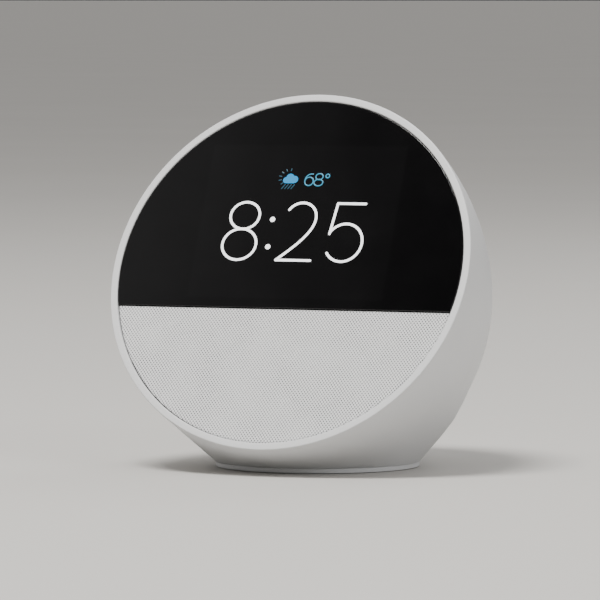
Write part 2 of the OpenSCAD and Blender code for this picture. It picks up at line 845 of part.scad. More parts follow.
module button_bracket() {
    color(dark_plastic) difference() {
        arc_strip(bracket_top, bracket_t, bracket_w, hook_angle + 6);
        for (a = [-hook_angle, hook_angle])
            at_button(a) translate([0, 0, bracket_top - 2 * bracket_t])
                cylinder(r = shank_r + 0.1, h = 3 * bracket_t, $fn = 32);
    }
}

module bracket_screws() {
    color(steel_grey) for (a = [-hook_angle, hook_angle])
        at_button(a) translate([0, 0, bracket_top - bracket_t - 0.1]) rotate([180, 0, 0]) screw(5.5);
}

module tact_switches() {
    color([0.25, 0.25, 0.27]) for (a = button_angles)
        at_button(a) difference() {
            translate([-switch_w / 2, -switch_w / 2, switch_top - switch_t])
                cube([switch_w, switch_w, switch_t]);
            translate([0, 0, switch_top - pocket_depth])
                cylinder(r = plunger_r + pocket_gap, h = pocket_depth + cut, $fn = 48);
        }
}

module microphones() {
    color([0.70, 0.60, 0.35]) for (a = [-mic_angle, mic_angle])
        at_button(a) translate([-1.8, -1.5, strip_top + 0.05]) cube([3.6, 3, mic_t]);
}

module mic_gaskets() {
    low = strip_top + 0.05 + mic_t;
    color([0.2, 0.2, 0.2]) for (a = [-mic_angle, mic_angle])
        at_button(a) difference() {
            translate([0, 0, low]) cylinder(r = mic_seal_r, h = mic_seal_end - low, $fn = 48);
            translate([0, 0, low - cut]) cylinder(r = mic_hole_r, h = mic_seal_end - low + 2 * cut, $fn = 32);
        }
}

// Depth and height of a point over the middle button's switch, in the face's frame
function button_point(y, z) = [
    button_rho - y * sin(button_lean) + z * cos(button_lean),
    -button_s - y * cos(button_lean) - z * sin(button_lean)
];

module button_ribbon() {
    t = 0.12;
    bend = bracket_w / 2 + 1.2;
    plug_v = board_low + board_h - 3.5;
    plug_n = -board_back - connector_t;
    color([0.80, 0.50, 0.15]) on_face() rotate([90, 0, 90]) translate([0, 0, -strip_ribbon_w / 2])
        linear_extrude(strip_ribbon_w) polygon([
            button_point(-strip_w / 2, bracket_top),
            button_point(-bend, bracket_top),
            [plug_v, plug_n - 1.4],
            [plug_v, plug_n],
            [plug_v + t, plug_n],
            [plug_v + t, plug_n - 1.4 + 1.2 * t],
            button_point(-bend - 1.6 * t, bracket_top + t),
            button_point(-strip_w / 2, bracket_top + t)
        ]);
}

module button(a) {
    edge = 0.5;
    color(shell_white) at_button(a) rotate_extrude() polygon([
        [0, button_proud],
        [button_r - edge, button_proud],
        [button_r - 0.3 * edge, button_proud - 0.3 * edge],
        [button_r, button_proud - edge],
        [button_r, lip_z],
        [button_lip_r, lip_z],
        [button_lip_r, lip_z - lip_t],
        [stem_r, lip_z - lip_t],
        [stem_r, stem_end],
        [0, stem_end]
    ]);
}
module volume_down_button() button(button_step);
module mic_off_button() button(0);
module volume_up_button() button(-button_step);

module plunger(a) {
    color([0.75, 0.70, 0.60]) at_button(a) translate([0, 0, stem_end - plunger_len])
        cylinder(r = plunger_r, h = plunger_len, $fn = 48);
}
module volume_down_plunger() plunger(button_step);
module mic_off_plunger() plunger(0);
module volume_up_plunger() plunger(-button_step);

// Power inlet
module power_jack() {
    color([0.1, 0.1, 0.1]) difference() {
        union() {
            translate([-jack_w / 2, jack_body_y - jack_d, inlet_z - jack_h / 2])
                cube([jack_w, jack_d, jack_h]);
            translate([0, jack_body_y - skin, inlet_z]) rotate([-90, 0, 0])
                cylinder(r = jack_nose_r, h = jack_nose + skin, $fn = 64);
        }
        translate([0, jack_front_y - socket_depth, inlet_z]) rotate([-90, 0, 0])
            cylinder(r = socket_r, h = socket_depth + cut, $fn = 64);
    }
}

module jack_pin() {
    color(steel_grey) translate([0, jack_front_y - socket_depth, inlet_z]) rotate([-90, 0, 0])
        cylinder(r = jack_pin_r, h = socket_depth - 1.5, $fn = 32);
}

module jack_board() {
    color(board_green) difference() {
        translate([-jack_board_w / 2, jack_board_y - jack_board_d / 2, jack_board_top - jack_board_t])
            cube([jack_board_w, jack_board_d, jack_board_t]);
        for (x = [-jack_post_x, jack_post_x])
            translate([x, jack_board_y, jack_board_top - 2 * jack_board_t])
                cylinder(r = shank_r + 0.1, h = 3 * jack_board_t, $fn = 32);
    }
}

module jack_screws() {
    color(steel_grey) for (x = [-jack_post_x, jack_post_x])
        translate([x, jack_board_y, jack_board_top]) screw(5);
}

// A point x, v up the face and s behind the rim, in the part's own frame
function face_point(x, v, s) = [
    x,
    face_y + v * sin(tilt) + s * cos(tilt),
    face_z + v * cos(tilt) - s * sin(tilt)
];

module power_lead() {
    lead_r = 1.4;
    y = jack_body_y - jack_d;
    z = inlet_z;
    color([0.12, 0.12, 0.12]) tube([
        [0, y, z],
        [0, y - 2, z],
        [1, y - 5, z + 1],
        [8, y - 14, z + 5],
        [16, y - 22, z + 9],
        face_point(lead_x - 3, lead_v, board_back + lead_plug_t + 7),
        face_point(lead_x, lead_v, board_back + lead_plug_t + 3),
        face_point(lead_x, lead_v, board_back + lead_plug_t)
    ], lead_r);
}

housing();
base_plate();
foot_pad();
base_weight();
base_screws();
cover_lens();
lens_tape();
touch_sensor();
lcd_panel();
backlight();
lcd_tray();
light_sensor();
front_frame();
front_screws();
grille_plate();
grille_fabric();
speaker_gasket();
speaker_basket();
speaker_surround();
speaker_spider();
speaker_cone();
dust_cap();
voice_coil();
top_plate();
speaker_magnet();
speaker_yoke();
speaker_terminals();
speaker_screws();
speaker_wires();
speaker_chamber();
chamber_screws();
main_board();
board_parts();
shield_can();
heat_sink();
board_screws();
antennas();
display_ribbon();
button_ribbon();
button_board();
button_bracket();
bracket_screws();
tact_switches();
microphones();
mic_gaskets();
volume_down_button();
mic_off_button();
volume_up_button();
volume_down_plunger();
mic_off_plunger();
volume_up_plunger();
power_jack();
jack_pin();
jack_board();
jack_screws();
power_lead();
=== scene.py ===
"""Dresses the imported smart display: a smooth housing, a glass lens, a clock face, a woven
grille, buttons and a foot, each with its own finish, in a soft studio. Lengths are in metres."""

import json
import math

import bmesh
import bpy
from bpy.props import FloatProperty, FloatVectorProperty, IntProperty, PointerProperty
from mathutils import Matrix, Vector


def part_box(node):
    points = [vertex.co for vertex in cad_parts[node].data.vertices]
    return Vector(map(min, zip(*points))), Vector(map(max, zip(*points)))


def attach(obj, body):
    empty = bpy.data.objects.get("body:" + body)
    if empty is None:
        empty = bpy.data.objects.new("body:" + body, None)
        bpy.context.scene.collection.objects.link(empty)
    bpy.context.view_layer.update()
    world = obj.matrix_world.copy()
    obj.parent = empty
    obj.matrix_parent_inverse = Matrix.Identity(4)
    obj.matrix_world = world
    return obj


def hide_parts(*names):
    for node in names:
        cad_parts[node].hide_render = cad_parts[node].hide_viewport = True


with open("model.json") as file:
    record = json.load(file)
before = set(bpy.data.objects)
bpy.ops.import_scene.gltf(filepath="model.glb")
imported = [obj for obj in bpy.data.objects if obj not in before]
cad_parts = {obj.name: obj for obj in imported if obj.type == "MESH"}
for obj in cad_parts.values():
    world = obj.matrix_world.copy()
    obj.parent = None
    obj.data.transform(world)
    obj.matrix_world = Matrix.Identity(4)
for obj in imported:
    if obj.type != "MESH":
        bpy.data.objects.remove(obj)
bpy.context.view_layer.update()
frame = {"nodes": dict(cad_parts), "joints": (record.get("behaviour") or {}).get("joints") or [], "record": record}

bl_info = {
    "name": "Smart display",
    "version": (1, 0, 0),
    "blender": (4, 5, 0),
    "location": "3D View > Sidebar > Display",
    "description": "Builds the visible pieces and finishes of a round desk display",
    "category": "Object",
}

MM = 0.001

# The frame gives the face: its radius, its lean, its centre and the direction it looks
cone_axis = next(j["axis"] for j in frame["joints"] if j["name"] == "cone_travel")
FACE_OUT = Vector(cone_axis).normalized()
TILT = math.asin(FACE_OUT.z)
house_low, house_high = (Vector(corner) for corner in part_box("housing"))
FACE_R = (house_high.x - house_low.x) / 2
FACE_CENTRE = Vector((
    0,
    house_low.y + FACE_R * math.sin(TILT),
    house_high.z - FACE_R * math.cos(TILT),
))
ON_FACE = Matrix.Translation(FACE_CENTRE) @ Matrix.Rotation(math.pi / 2 - TILT, 4, "X")
LENS_R = (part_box("cover_lens")[1].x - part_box("cover_lens")[0].x) / 2
FABRIC_R = LENS_R - 0.1 * MM
FOOT_LOW, FOOT_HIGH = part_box("foot_pad")
PLATE_LOW, PLATE_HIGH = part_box("base_plate")
PLATE_HIGH_EDGE = PLATE_LOW.z + 0.8 * MM
# The belly's rings: how far each stands beyond the belly, and over it
BELLY_RINGS = ((2.3 * MM, 5 * MM), (-0.35 * MM, 0), (-4.2 * MM, -5 * MM))


def length(name, about, value, low=0.0, high=0.5):
    return FloatProperty(
        name=name, description=about, default=value, min=low, max=high, unit="LENGTH", precision=5
    )


def paint(name, about, value):
    return FloatVectorProperty(
        name=name, description=about, default=value, size=3, min=0, max=1, subtype="COLOR"
    )


def share(name, about, value, low=0.0, high=1.0):
    return FloatProperty(name=name, description=about, default=value, min=low, max=high)


def number(name, about, value):
    return FloatProperty(name=name, description=about, default=value)


class HousingSettings(bpy.types.PropertyGroup):
    wall: length("Wall", "Width of the ring round the face", 2.2 * MM)
    dome_depth: length("Dome depth", "Depth of the rounded back behind the face", 83.5 * MM)
    base_r: length("Base radius", "Radius where the housing meets the base plate", 30.5 * MM)
    belly_r: length("Belly radius", "Radius of the belly above the foot", 41 * MM)
    belly_z: length("Belly height", "Height of the belly above the table", 14 * MM)
    floor_hole_r: length("Floor hole", "Radius of the hole in the housing's floor", 21.8 * MM)
    rim_round: length("Rim rounding", "Rounding of the ring's edges", 0.35 * MM)
    depth: length("Opening depth", "Depth of the opening's straight wall", 4.8 * MM)
    inlet_z: length("Inlet height", "Height of the power inlet's axis", 34 * MM)
    inlet_r: length("Inlet radius", "Radius of the hole for the plug", 4.25 * MM)
    inlet_rim_r: length("Inlet recess", "Radius of the flat recess round the inlet", 5.6 * MM)
    inlet_y: length("Inlet face", "Y of the recess's floor", 54.58 * MM)
    segments: IntProperty(name="Segments", description="Faces round the dome", default=160)
    white: paint("Shell", "Colour of the shell", (0.72, 0.725, 0.73))


class FrontSettings(bpy.types.PropertyGroup):
    lens_recess: length("Lens recess", "How far the lens lies below the rim", 0.2 * MM)
    lens_t: length("Lens thickness", "Thickness of the cover lens", 1.1 * MM)
    split: length("Split", "Where the lens meets the grille, below the centre", 12 * MM)
    screen_w: length("Screen width", "Width of the lit panel", 62 * MM)
    screen_h: length("Screen height", "Height of the lit panel", 49 * MM)
    screen_v: length("Screen centre", "Height of the panel's centre above the face's", 15.5 * MM)
    glass: paint("Glass", "Colour of the glass's black backing", (0.0025, 0.0024, 0.0026))
    glow: share("Glow", "Light that the dark panel leaks", 0.0016)


class WeaveSettings(bpy.types.PropertyGroup):
    recess: length("Fabric recess", "How far the fabric lies below the rim", 0.7 * MM)
    thickness: length("Fabric thickness", "Thickness of the cloth", 0.45 * MM)
    pitch: length("Pitch", "Distance between holes along a row", 1.0 * MM)
    row: length("Row", "Distance between rows of holes", 0.6 * MM)
    dent: length("Dent", "Depth of a hole between the yarns", 0.26 * MM)
    light: paint("Yarn", "Colour of the yarn", (0.88, 0.885, 0.885))
    dark: paint("Hole", "Colour between the yarns", (0.10, 0.10, 0.11))


class ReadoutSettings(bpy.types.PropertyGroup):
    stroke: length("Stroke", "Width of the clock's strokes", 0.78 * MM)
    small_stroke: length("Small stroke", "Width of the temperature's strokes", 0.36 * MM)
    lift: length("Lift", "How far the lit shapes stand over the glass", 0.03 * MM)
    across: length("Across", "Moves the readout to the right", 0.46 * MM, low=-0.01)
    up: length("Up", "Moves the readout up the face", -0.5 * MM, low=-0.01)
    white: paint("Clock", "Colour of the clock", (0.86, 0.86, 0.87))
    blue: paint("Temperature", "Colour of the temperature", (0.06, 0.50, 0.80))
    cloud: paint("Cloud", "Colour of the cloud", (0.0, 0.46, 1.0))


class ButtonSettings(bpy.types.PropertyGroup):
    radius: length("Radius", "Radius of a button's cap", 4.6 * MM)
    gap: length("Gap", "Clearance round a button", 0.25 * MM)
    behind: length("Row", "Distance of the row of buttons behind the face", 30 * MM)
    proud: length("Proud", "How far a cap stands out of the housing", 0.6 * MM)
    dish: length("Dish", "Depth of the cap's hollow", 0.25 * MM)
    mic_r: length("Microphone", "Radius of a microphone hole", 0.7 * MM)


class StageSettings(bpy.types.PropertyGroup):
    azimuth: number("Azimuth", "The camera's place round the object", 22.82)
    elevation: number("Elevation", "The camera's height", 2.72)
    distance: length("Distance", "From the camera to the face", 1.695, high=10)
    lens: number("Lens", "Focal length in millimetres", 346.3)
    shift_x: number("Shift X", "Sideways shift of the frame", 0.0191)
    shift_y: number("Shift Y", "Upward shift of the frame", -0.04995)
    floor: paint("Floor", "Colour of the floor", (0.54, 0.525, 0.50))
    room: paint("Room", "Light of the room overhead", (0.75, 0.74, 0.73))
    horizon: paint("Horizon", "Light of the room at table height", (0.12, 0.12, 0.12))
    dark: paint("Dark side", "Light of the room's dark side", (0.012, 0.012, 0.013))
    dark_side: FloatVectorProperty(
        name="Dark side", description="Where it lies from the mirrored direction",
        default=(0.45, 0, -0.1),
    )
    dark_shift: number("Dark shift", "Moves the dark side's edge, in degrees", 1.6)
    dark_soft: number("Dark edge", "Half the edge's width, in degrees", 3.2)
    key: number("Key", "Power of the main light", 68)
    fill: number("Fill", "Power of the light on the right", 8)
    back: number("Back", "Power of the light behind", 5)


SETTINGS = {
    "display_housing": HousingSettings,
    "display_front": FrontSettings,
    "display_weave": WeaveSettings,
    "display_readout": ReadoutSettings,
    "display_buttons": ButtonSettings,
    "display_stage": StageSettings,
}


# Tools that the operators share

def settings(name):
    return getattr(bpy.context.scene, name)


def only(*pieces):
    """Selects these objects and nothing else; the first is the active one."""
    if bpy.context.object and bpy.context.object.mode != "OBJECT":
        bpy.ops.object.mode_set(mode="OBJECT")
    bpy.ops.object.select_all(action="DESELECT")
    for piece in pieces:
        piece.select_set(True)
    bpy.context.view_layer.objects.active = pieces[0]
    return pieces[0]


def new(primitive, name, **sizes):
    """Adds one of bpy.ops.mesh's primitives and names it."""
    bpy.ops.object.select_all(action="DESELECT")
    getattr(bpy.ops.mesh, f"primitive_{primitive}_add")(**sizes)
    piece = bpy.context.object
    piece.name = piece.data.name = name
    return piece


def settle(piece):
    """Leaves a new piece's place and size in its mesh."""
    return place(piece, piece.matrix_world.copy())


def edit(piece, select="SELECT"):
    only(piece)
    bpy.ops.object.mode_set(mode="EDIT")
    bpy.ops.mesh.select_mode(type="VERT")
    bpy.ops.mesh.select_all(action=select)


def done():
    bpy.ops.object.mode_set(mode="OBJECT")


def place(piece, matrix):
    """Turns and moves a piece, and leaves its object at the origin."""
    only(piece)
    piece.matrix_world = matrix
    bpy.ops.object.transform_apply(location=True, rotation=True, scale=True)
    return piece


def pick_open_edge(piece, wanted=lambda co: True):
    """In edit mode, selects the open boundary whose points pass the test."""
    mesh = bmesh.from_edit_mesh(piece.data)
    for face in mesh.faces:
        face.select_set(False)
    for edge in mesh.edges:
        edge.select_set(False)
    for edge in mesh.edges:
        if edge.is_boundary and all(wanted(v.co) for v in edge.verts):
            edge.select_set(True)
    bmesh.update_edit_mesh(piece.data)


def true_round(piece, radius, height):
    """In edit mode, puts the selected vertices exactly on a level circle about Z."""
    mesh = bmesh.from_edit_mesh(piece.data)
    for vertex in mesh.verts:
        if vertex.select:
            vertex.co.xy = vertex.co.xy.normalized() * radius
            vertex.co.z = height
    bmesh.update_edit_mesh(piece.data)


def step_edge(move=(0, 0, 0), scale=(1, 1, 1), centre=(0, 0, 0)):
    """Extrudes the selected edge loop, then moves and scales it."""
    bpy.ops.mesh.extrude_region_move(TRANSFORM_OT_translate={"value": move})
    if tuple(scale) != (1, 1, 1):
        bpy.ops.transform.resize(value=scale, center_override=centre)


def turned(piece, profile):
    """Extrudes a piece's open ring about Z through (radius, height) steps."""
    for (r0, z0), (r1, z1) in zip(profile, profile[1:]):
        step_edge((0, 0, z1 - z0), (r1 / r0, r1 / r0, 1), (0, 0, z1))


def arc(centre, radii, start, end, steps=28):
    """Points on an ellipse, between two angles in degrees."""
    turns = [math.radians(start + (end - start) * i / steps) for i in range(steps + 1)]
    return [
        (centre[0] + radii[0] * math.cos(turn), centre[1] + radii[1] * math.sin(turn))
        for turn in turns
    ]


def quarter(radius, height, size, start, end, steps=3):
    """Points of a rounded corner, by angle, about (radius, height)."""
    return arc((radius, height), (size, size), start, end, steps)


def tidy(piece, angle=40):
    """Merges doubles, points the faces outwards and smooths all but the sharp edges."""
    edit(piece)
    bpy.ops.mesh.remove_doubles(threshold=1e-6)
    bpy.ops.mesh.normals_make_consistent(inside=False)
    done()
    bpy.ops.object.shade_smooth_by_angle(angle=math.radians(angle))
    apply_modifier(piece, "WEIGHTED_NORMAL", keep_sharp=True, weight=100)
    return piece


def apply_modifier(piece, kind, **values):
    only(piece)
    modifier = piece.modifiers.new(kind.title(), kind)
    for name, value in values.items():
        setattr(modifier, name, value)
    bpy.ops.object.modifier_apply(modifier=modifier.name)


def bevel_sharp(piece, width, segments=3, sharpness=50):
    edit(piece, "DESELECT")
    bpy.ops.mesh.select_mode(type="EDGE")
    bpy.ops.mesh.edges_select_sharp(sharpness=math.radians(sharpness))
    bpy.ops.mesh.bevel(offset=width, segments=segments, profile=0.5, affect="EDGES")
    done()


def lathe(name, profile, segments=96):
    """A solid of revolution about Z through (radius, height) points, from one pole to the other."""
    (r0, z0), *rest = profile
    piece = new("circle", name, vertices=segments, radius=r0)
    place(piece, Matrix.Translation((0, 0, z0)))
    edit(piece)
    turned(piece, profile)
    step_edge()
    bpy.ops.mesh.merge(type="CENTER")
    pick_open_edge(piece)
    bpy.ops.mesh.edge_face_add()
    bpy.ops.mesh.inset(thickness=0.5 * r0)
    bpy.ops.mesh.merge(type="CENTER")
    bpy.ops.mesh.select_all(action="SELECT")
    bpy.ops.mesh.normals_make_consistent(inside=False)
    done()
    return piece


def ride_as(piece, body, slot, *nodes):
    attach(piece, body)
    if nodes:
        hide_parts(*nodes)
    return piece


# Finishes

def new_group(name, inputs, outputs):
    group = bpy.data.node_groups.new(name, "ShaderNodeTree")
    kinds = {"v": "NodeSocketVector", "f": "NodeSocketFloat", "c": "NodeSocketColor"}
    for label, kind in inputs:
        group.interface.new_socket(name=label, in_out="INPUT", socket_type=kinds[kind])
    for label, kind in outputs:
        group.interface.new_socket(name=label, in_out="OUTPUT", socket_type=kinds[kind])
    return group, group.nodes.new("NodeGroupInput"), group.nodes.new("NodeGroupOutput")


def node(tree, kind, **values):
    made = tree.nodes.new(f"ShaderNode{kind}")
    for name, value in values.items():
        if hasattr(made, name):
            setattr(made, name, value)
        else:
            made.inputs[name.replace("_", " ")].default_value = value
    return made


def maths(tree, operation, first, second=None):
    made = node(tree, "Math", operation=operation)
    for socket, value in zip(made.inputs, (first, second)):
        if value is None:
            continue
        if isinstance(value, (int, float)):
            socket.default_value = value
        else:
            tree.links.new(value, socket)
    return made.outputs[0]


def blend_colour(tree, factor, first, second):
    made = node(tree, "Mix", data_type="RGBA")
    for index, value in ((0, factor), (6, first), (7, second)):
        socket = made.inputs[index]
        if isinstance(value, (int, float)):
            socket.default_value = value
        elif isinstance(value, tuple):
            socket.default_value = (*value, 1) if len(value) == 3 else value
        else:
            tree.links.new(value, socket)
    return made.outputs[2]


def spread_roughness(group, factor, given, made):
    """Roughness between the group's Smooth and Rough, by a noise."""
    spread = node(group, "MapRange", From_Min=0.3, From_Max=0.7)
    group.links.new(factor, spread.inputs["Value"])
    group.links.new(given.outputs["Smooth"], spread.inputs["To Min"])
    group.links.new(given.outputs["Rough"], spread.inputs["To Max"])
    group.links.new(spread.outputs["Result"], made.inputs["Roughness"])


def moulded_group():
    """Fine grain, slow patches of tone and faint scuffs, as on moulded and coated parts."""
    group, given, made = new_group(
        "Moulded surface",
        [("Vector", "v"), ("Base", "c"), ("Shade", "c"), ("Grain scale", "f"), ("Patch scale", "f"),
         ("Scuffs", "f"), ("Smooth", "f"), ("Rough", "f")],
        [("Color", "c"), ("Roughness", "f"), ("Height", "f")],
    )
    link = group.links.new
    grain = node(group, "TexNoise", Detail=4.0, Roughness=0.6)
    patch = node(group, "TexNoise", Detail=2.0)
    scuff = node(group, "TexNoise", Scale=900.0, Detail=1.0)
    for texture in (grain, patch, scuff):
        link(given.outputs["Vector"], texture.inputs["Vector"])
    link(given.outputs["Grain scale"], grain.inputs["Scale"])
    link(given.outputs["Patch scale"], patch.inputs["Scale"])
    spots = maths(group, "MULTIPLY", maths(group, "GREATER_THAN", scuff.outputs["Fac"], 0.66),
                  given.outputs["Scuffs"])
    tone = maths(group, "MULTIPLY", patch.outputs["Fac"], 0.6)
    tone = maths(group, "ADD", tone, maths(group, "MULTIPLY", grain.outputs["Fac"], 0.25))
    tone = maths(group, "ADD", tone, spots)
    colour = blend_colour(group, tone, given.outputs["Base"], given.outputs["Shade"])
    link(colour, made.inputs["Color"])
    spread_roughness(group, patch.outputs["Fac"], given, made)
    link(grain.outputs["Fac"], made.inputs["Height"])
    return group


def drawn_group():
    """Long fine lines across a metal, as drawing or turning leaves them."""
    group, given, made = new_group(
        "Drawn lines",
        [("Vector", "v"), ("Base", "c"), ("Shade", "c"), ("Smooth", "f"), ("Rough", "f")],
        [("Color", "c"), ("Roughness", "f"), ("Height", "f")],
    )
    link = group.links.new
    stretch = node(group, "Mapping")
    stretch.inputs["Scale"].default_value = (120, 4500, 900)
    lines = node(group, "TexNoise", Scale=1.0, Detail=3.0)
    link(given.outputs["Vector"], stretch.inputs["Vector"])
    link(stretch.outputs["Vector"], lines.inputs["Vector"])
    link(blend_colour(group, lines.outputs["Fac"], given.outputs["Base"], given.outputs["Shade"]),
         made.inputs["Color"])
    spread_roughness(group, lines.outputs["Fac"], given, made)
    link(lines.outputs["Fac"], made.inputs["Height"])
    return group


def weave_group():
    """Holes between crossing yarns, in staggered rows over the face."""
    group, given, made = new_group(
        "Open weave",
        [("Vector", "v"), ("Pitch", "f"), ("Row", "f"), ("Yarn", "c"), ("Gap", "c")],
        [("Color", "c"), ("Roughness", "f"), ("Height", "f")],
    )
    link = group.links.new
    split = node(group, "SeparateXYZ")
    link(given.outputs["Vector"], split.inputs[0])
    across = maths(group, "DIVIDE", maths(group, "MULTIPLY", split.outputs["X"], math.tau),
                   given.outputs["Pitch"])
    up = maths(group, "DIVIDE", maths(group, "MULTIPLY", split.outputs["Y"], math.pi),
               given.outputs["Row"])
    wave = maths(group, "MULTIPLY", maths(group, "COSINE", across), maths(group, "COSINE", up))
    hole = node(group, "MapRange", interpolation_type="SMOOTHSTEP", From_Min=0.0, From_Max=0.75)
    link(wave, hole.inputs["Value"])
    fuzz = node(group, "TexNoise", Scale=5200.0, Detail=3.0)
    patch = node(group, "TexNoise", Scale=60.0, Detail=2.0)
    for texture in (fuzz, patch):
        link(given.outputs["Vector"], texture.inputs["Vector"])
    uneven = maths(group, "ADD", 0.35, maths(group, "MULTIPLY", patch.outputs["Fac"], 0.9))
    depth = maths(group, "MULTIPLY", hole.outputs["Result"], uneven)
    tone = maths(group, "ADD", depth, maths(group, "MULTIPLY", fuzz.outputs["Fac"], 0.22))
    colour = blend_colour(group, tone, given.outputs["Yarn"], given.outputs["Gap"])
    link(colour, made.inputs["Color"])
    link(maths(group, "ADD", 0.78, maths(group, "MULTIPLY", fuzz.outputs["Fac"], 0.2)),
         made.inputs["Roughness"])
    height = maths(group, "SUBTRACT", fuzz.outputs["Fac"], hole.outputs["Result"])
    link(height, made.inputs["Height"])
    return group


GROUPS = {"moulded": moulded_group, "drawn": drawn_group, "weave": weave_group}
made_groups = {}


def effect(kind):
    if kind not in made_groups:
        made_groups[kind] = GROUPS[kind]()
    return made_groups[kind]


def new_material(name):
    material = bpy.data.materials.new(name)
    material.use_nodes = True
    tree = material.node_tree
    return material, tree, tree.nodes["Principled BSDF"]


def seen_from(tree, where, matrix):
    """The same coordinates in another frame."""
    turn = node(tree, "Mapping", vector_type="POINT")
    turn.inputs["Location"].default_value = matrix.to_translation()
    turn.inputs["Rotation"].default_value = matrix.to_euler()
    tree.links.new(where, turn.inputs["Vector"])
    return turn.outputs["Vector"]


def finish(name, kind, colours, rough, bump, metallic=0.0, matrix=None, extra=None,
           shader_values=None):
    """A material: one effect group feeding the shader's colour, roughness and bump."""
    material, tree, shader = new_material(name)
    shader.inputs["Metallic"].default_value = metallic
    for socket, value in (shader_values or {}).items():
        shader.inputs[socket].default_value = value
    where = node(tree, "TexCoord").outputs["Object"]
    if matrix is not None:
        where = seen_from(tree, where, matrix)
    group = node(tree, "Group", node_tree=effect(kind))
    tree.links.new(where, group.inputs["Vector"])
    names = [s.name for s in group.inputs if s.type == "RGBA"]
    for label, colour in zip(names, colours):
        group.inputs[label].default_value = (*colour, 1)
    for label, value in (extra or {}).items():
        group.inputs[label].default_value = value
    if "Smooth" in group.inputs:
        group.inputs["Smooth"].default_value, group.inputs["Rough"].default_value = rough
    tree.links.new(group.outputs["Color"], shader.inputs["Base Color"])
    tree.links.new(group.outputs["Roughness"], shader.inputs["Roughness"])
    relief = node(tree, "Bump", Strength=1.0, Distance=bump)
    tree.links.new(group.outputs["Height"], relief.inputs["Height"])
    tree.links.new(relief.outputs["Normal"], shader.inputs["Normal"])
    return material


def moulded(name, base, shade, rough, bump, grain=1800.0, patch=25.0, scuffs=0.0):
    extra = {"Grain scale": grain, "Patch scale": patch, "Scuffs": scuffs}
    return finish(name, "moulded", (base, shade), rough, bump, extra=extra)


def drawn(name, base, shade, rough):
    return finish(name, "drawn", (base, shade), rough, 0.01 * MM, metallic=1.0)


def scaled(colour, by=0.9):
    return tuple(channel * by for channel in colour)


def glowing(name, colour, strength):
    """A lit shape on the screen, a little uneven."""
    material, tree, shader = new_material(name)
    shader.inputs["Roughness"].default_value = 0.3
    shader.inputs["Emission Strength"].default_value = strength
    where = node(tree, "TexCoord").outputs["Object"]
    uneven = node(tree, "TexNoise", Scale=4000.0)
    tree.links.new(where, uneven.inputs["Vector"])
    tone = blend_colour(tree, uneven.outputs["Fac"], tuple(colour), scaled(colour, 0.93))
    tree.links.new(tone, shader.inputs["Emission Color"])
    shader.inputs["Base Color"].default_value = (*scaled(colour, 0.05), 1)
    return material


def glass_finish():
    """Black-backed glass over a dark panel whose outline barely shows."""
    front = settings("display_front")
    material, tree, shader = new_material("Black glass")
    shader.inputs["Specular IOR Level"].default_value = 0.5
    shader.inputs["Coat Weight"].default_value = 0.0
    shader.inputs["Emission Strength"].default_value = 1.0
    where = node(tree, "TexCoord").outputs["Object"]
    split = node(tree, "SeparateXYZ")
    tree.links.new(seen_from(tree, where, ON_FACE.inverted()), split.inputs[0])
    edge = 0.3 * MM
    inside = []
    sides = (("X", 0, front.screen_w / 2), ("Y", front.screen_v, front.screen_h / 2))
    for axis, centre, half in sides:
        off = maths(tree, "ABSOLUTE", maths(tree, "SUBTRACT", split.outputs[axis], centre))
        ramp = node(tree, "MapRange", From_Min=half - edge, From_Max=half + edge,
                    To_Min=1.0, To_Max=0.0)
        tree.links.new(off, ramp.inputs["Value"])
        inside.append(ramp.outputs["Result"])
    panel = maths(tree, "MULTIPLY", *inside)
    glow = tuple(front.glow * tint for tint in (1.0, 0.96, 0.98))
    tree.links.new(blend_colour(tree, panel, (0, 0, 0), glow), shader.inputs["Emission Color"])
    smudge = node(tree, "TexNoise", Scale=45.0, Detail=3.0)
    tree.links.new(where, smudge.inputs["Vector"])
    haze = node(tree, "MapRange", From_Min=0.35, From_Max=0.75, To_Min=0.06, To_Max=0.12)
    tree.links.new(smudge.outputs["Fac"], haze.inputs["Value"])
    tree.links.new(haze.outputs["Result"], shader.inputs["Roughness"])
    tint = blend_colour(tree, smudge.outputs["Fac"], tuple(front.glass), scaled(front.glass, 1.4))
    tree.links.new(tint, shader.inputs["Base Color"])
    return material


def wear(piece, material):
    piece.data.materials.clear()
    piece.data.materials.append(material)
    return piece


shared = {}


def shell_finish():
    if "shell" not in shared:
        white = tuple(settings("display_housing").white)
        shared["shell"] = moulded(
            "Matte shell", white, scaled(white, 0.93), (0.42, 0.52), 0.012 * MM,
            grain=2600.0, patch=30.0,
        )
    return shared["shell"]


# Shapes of the housing

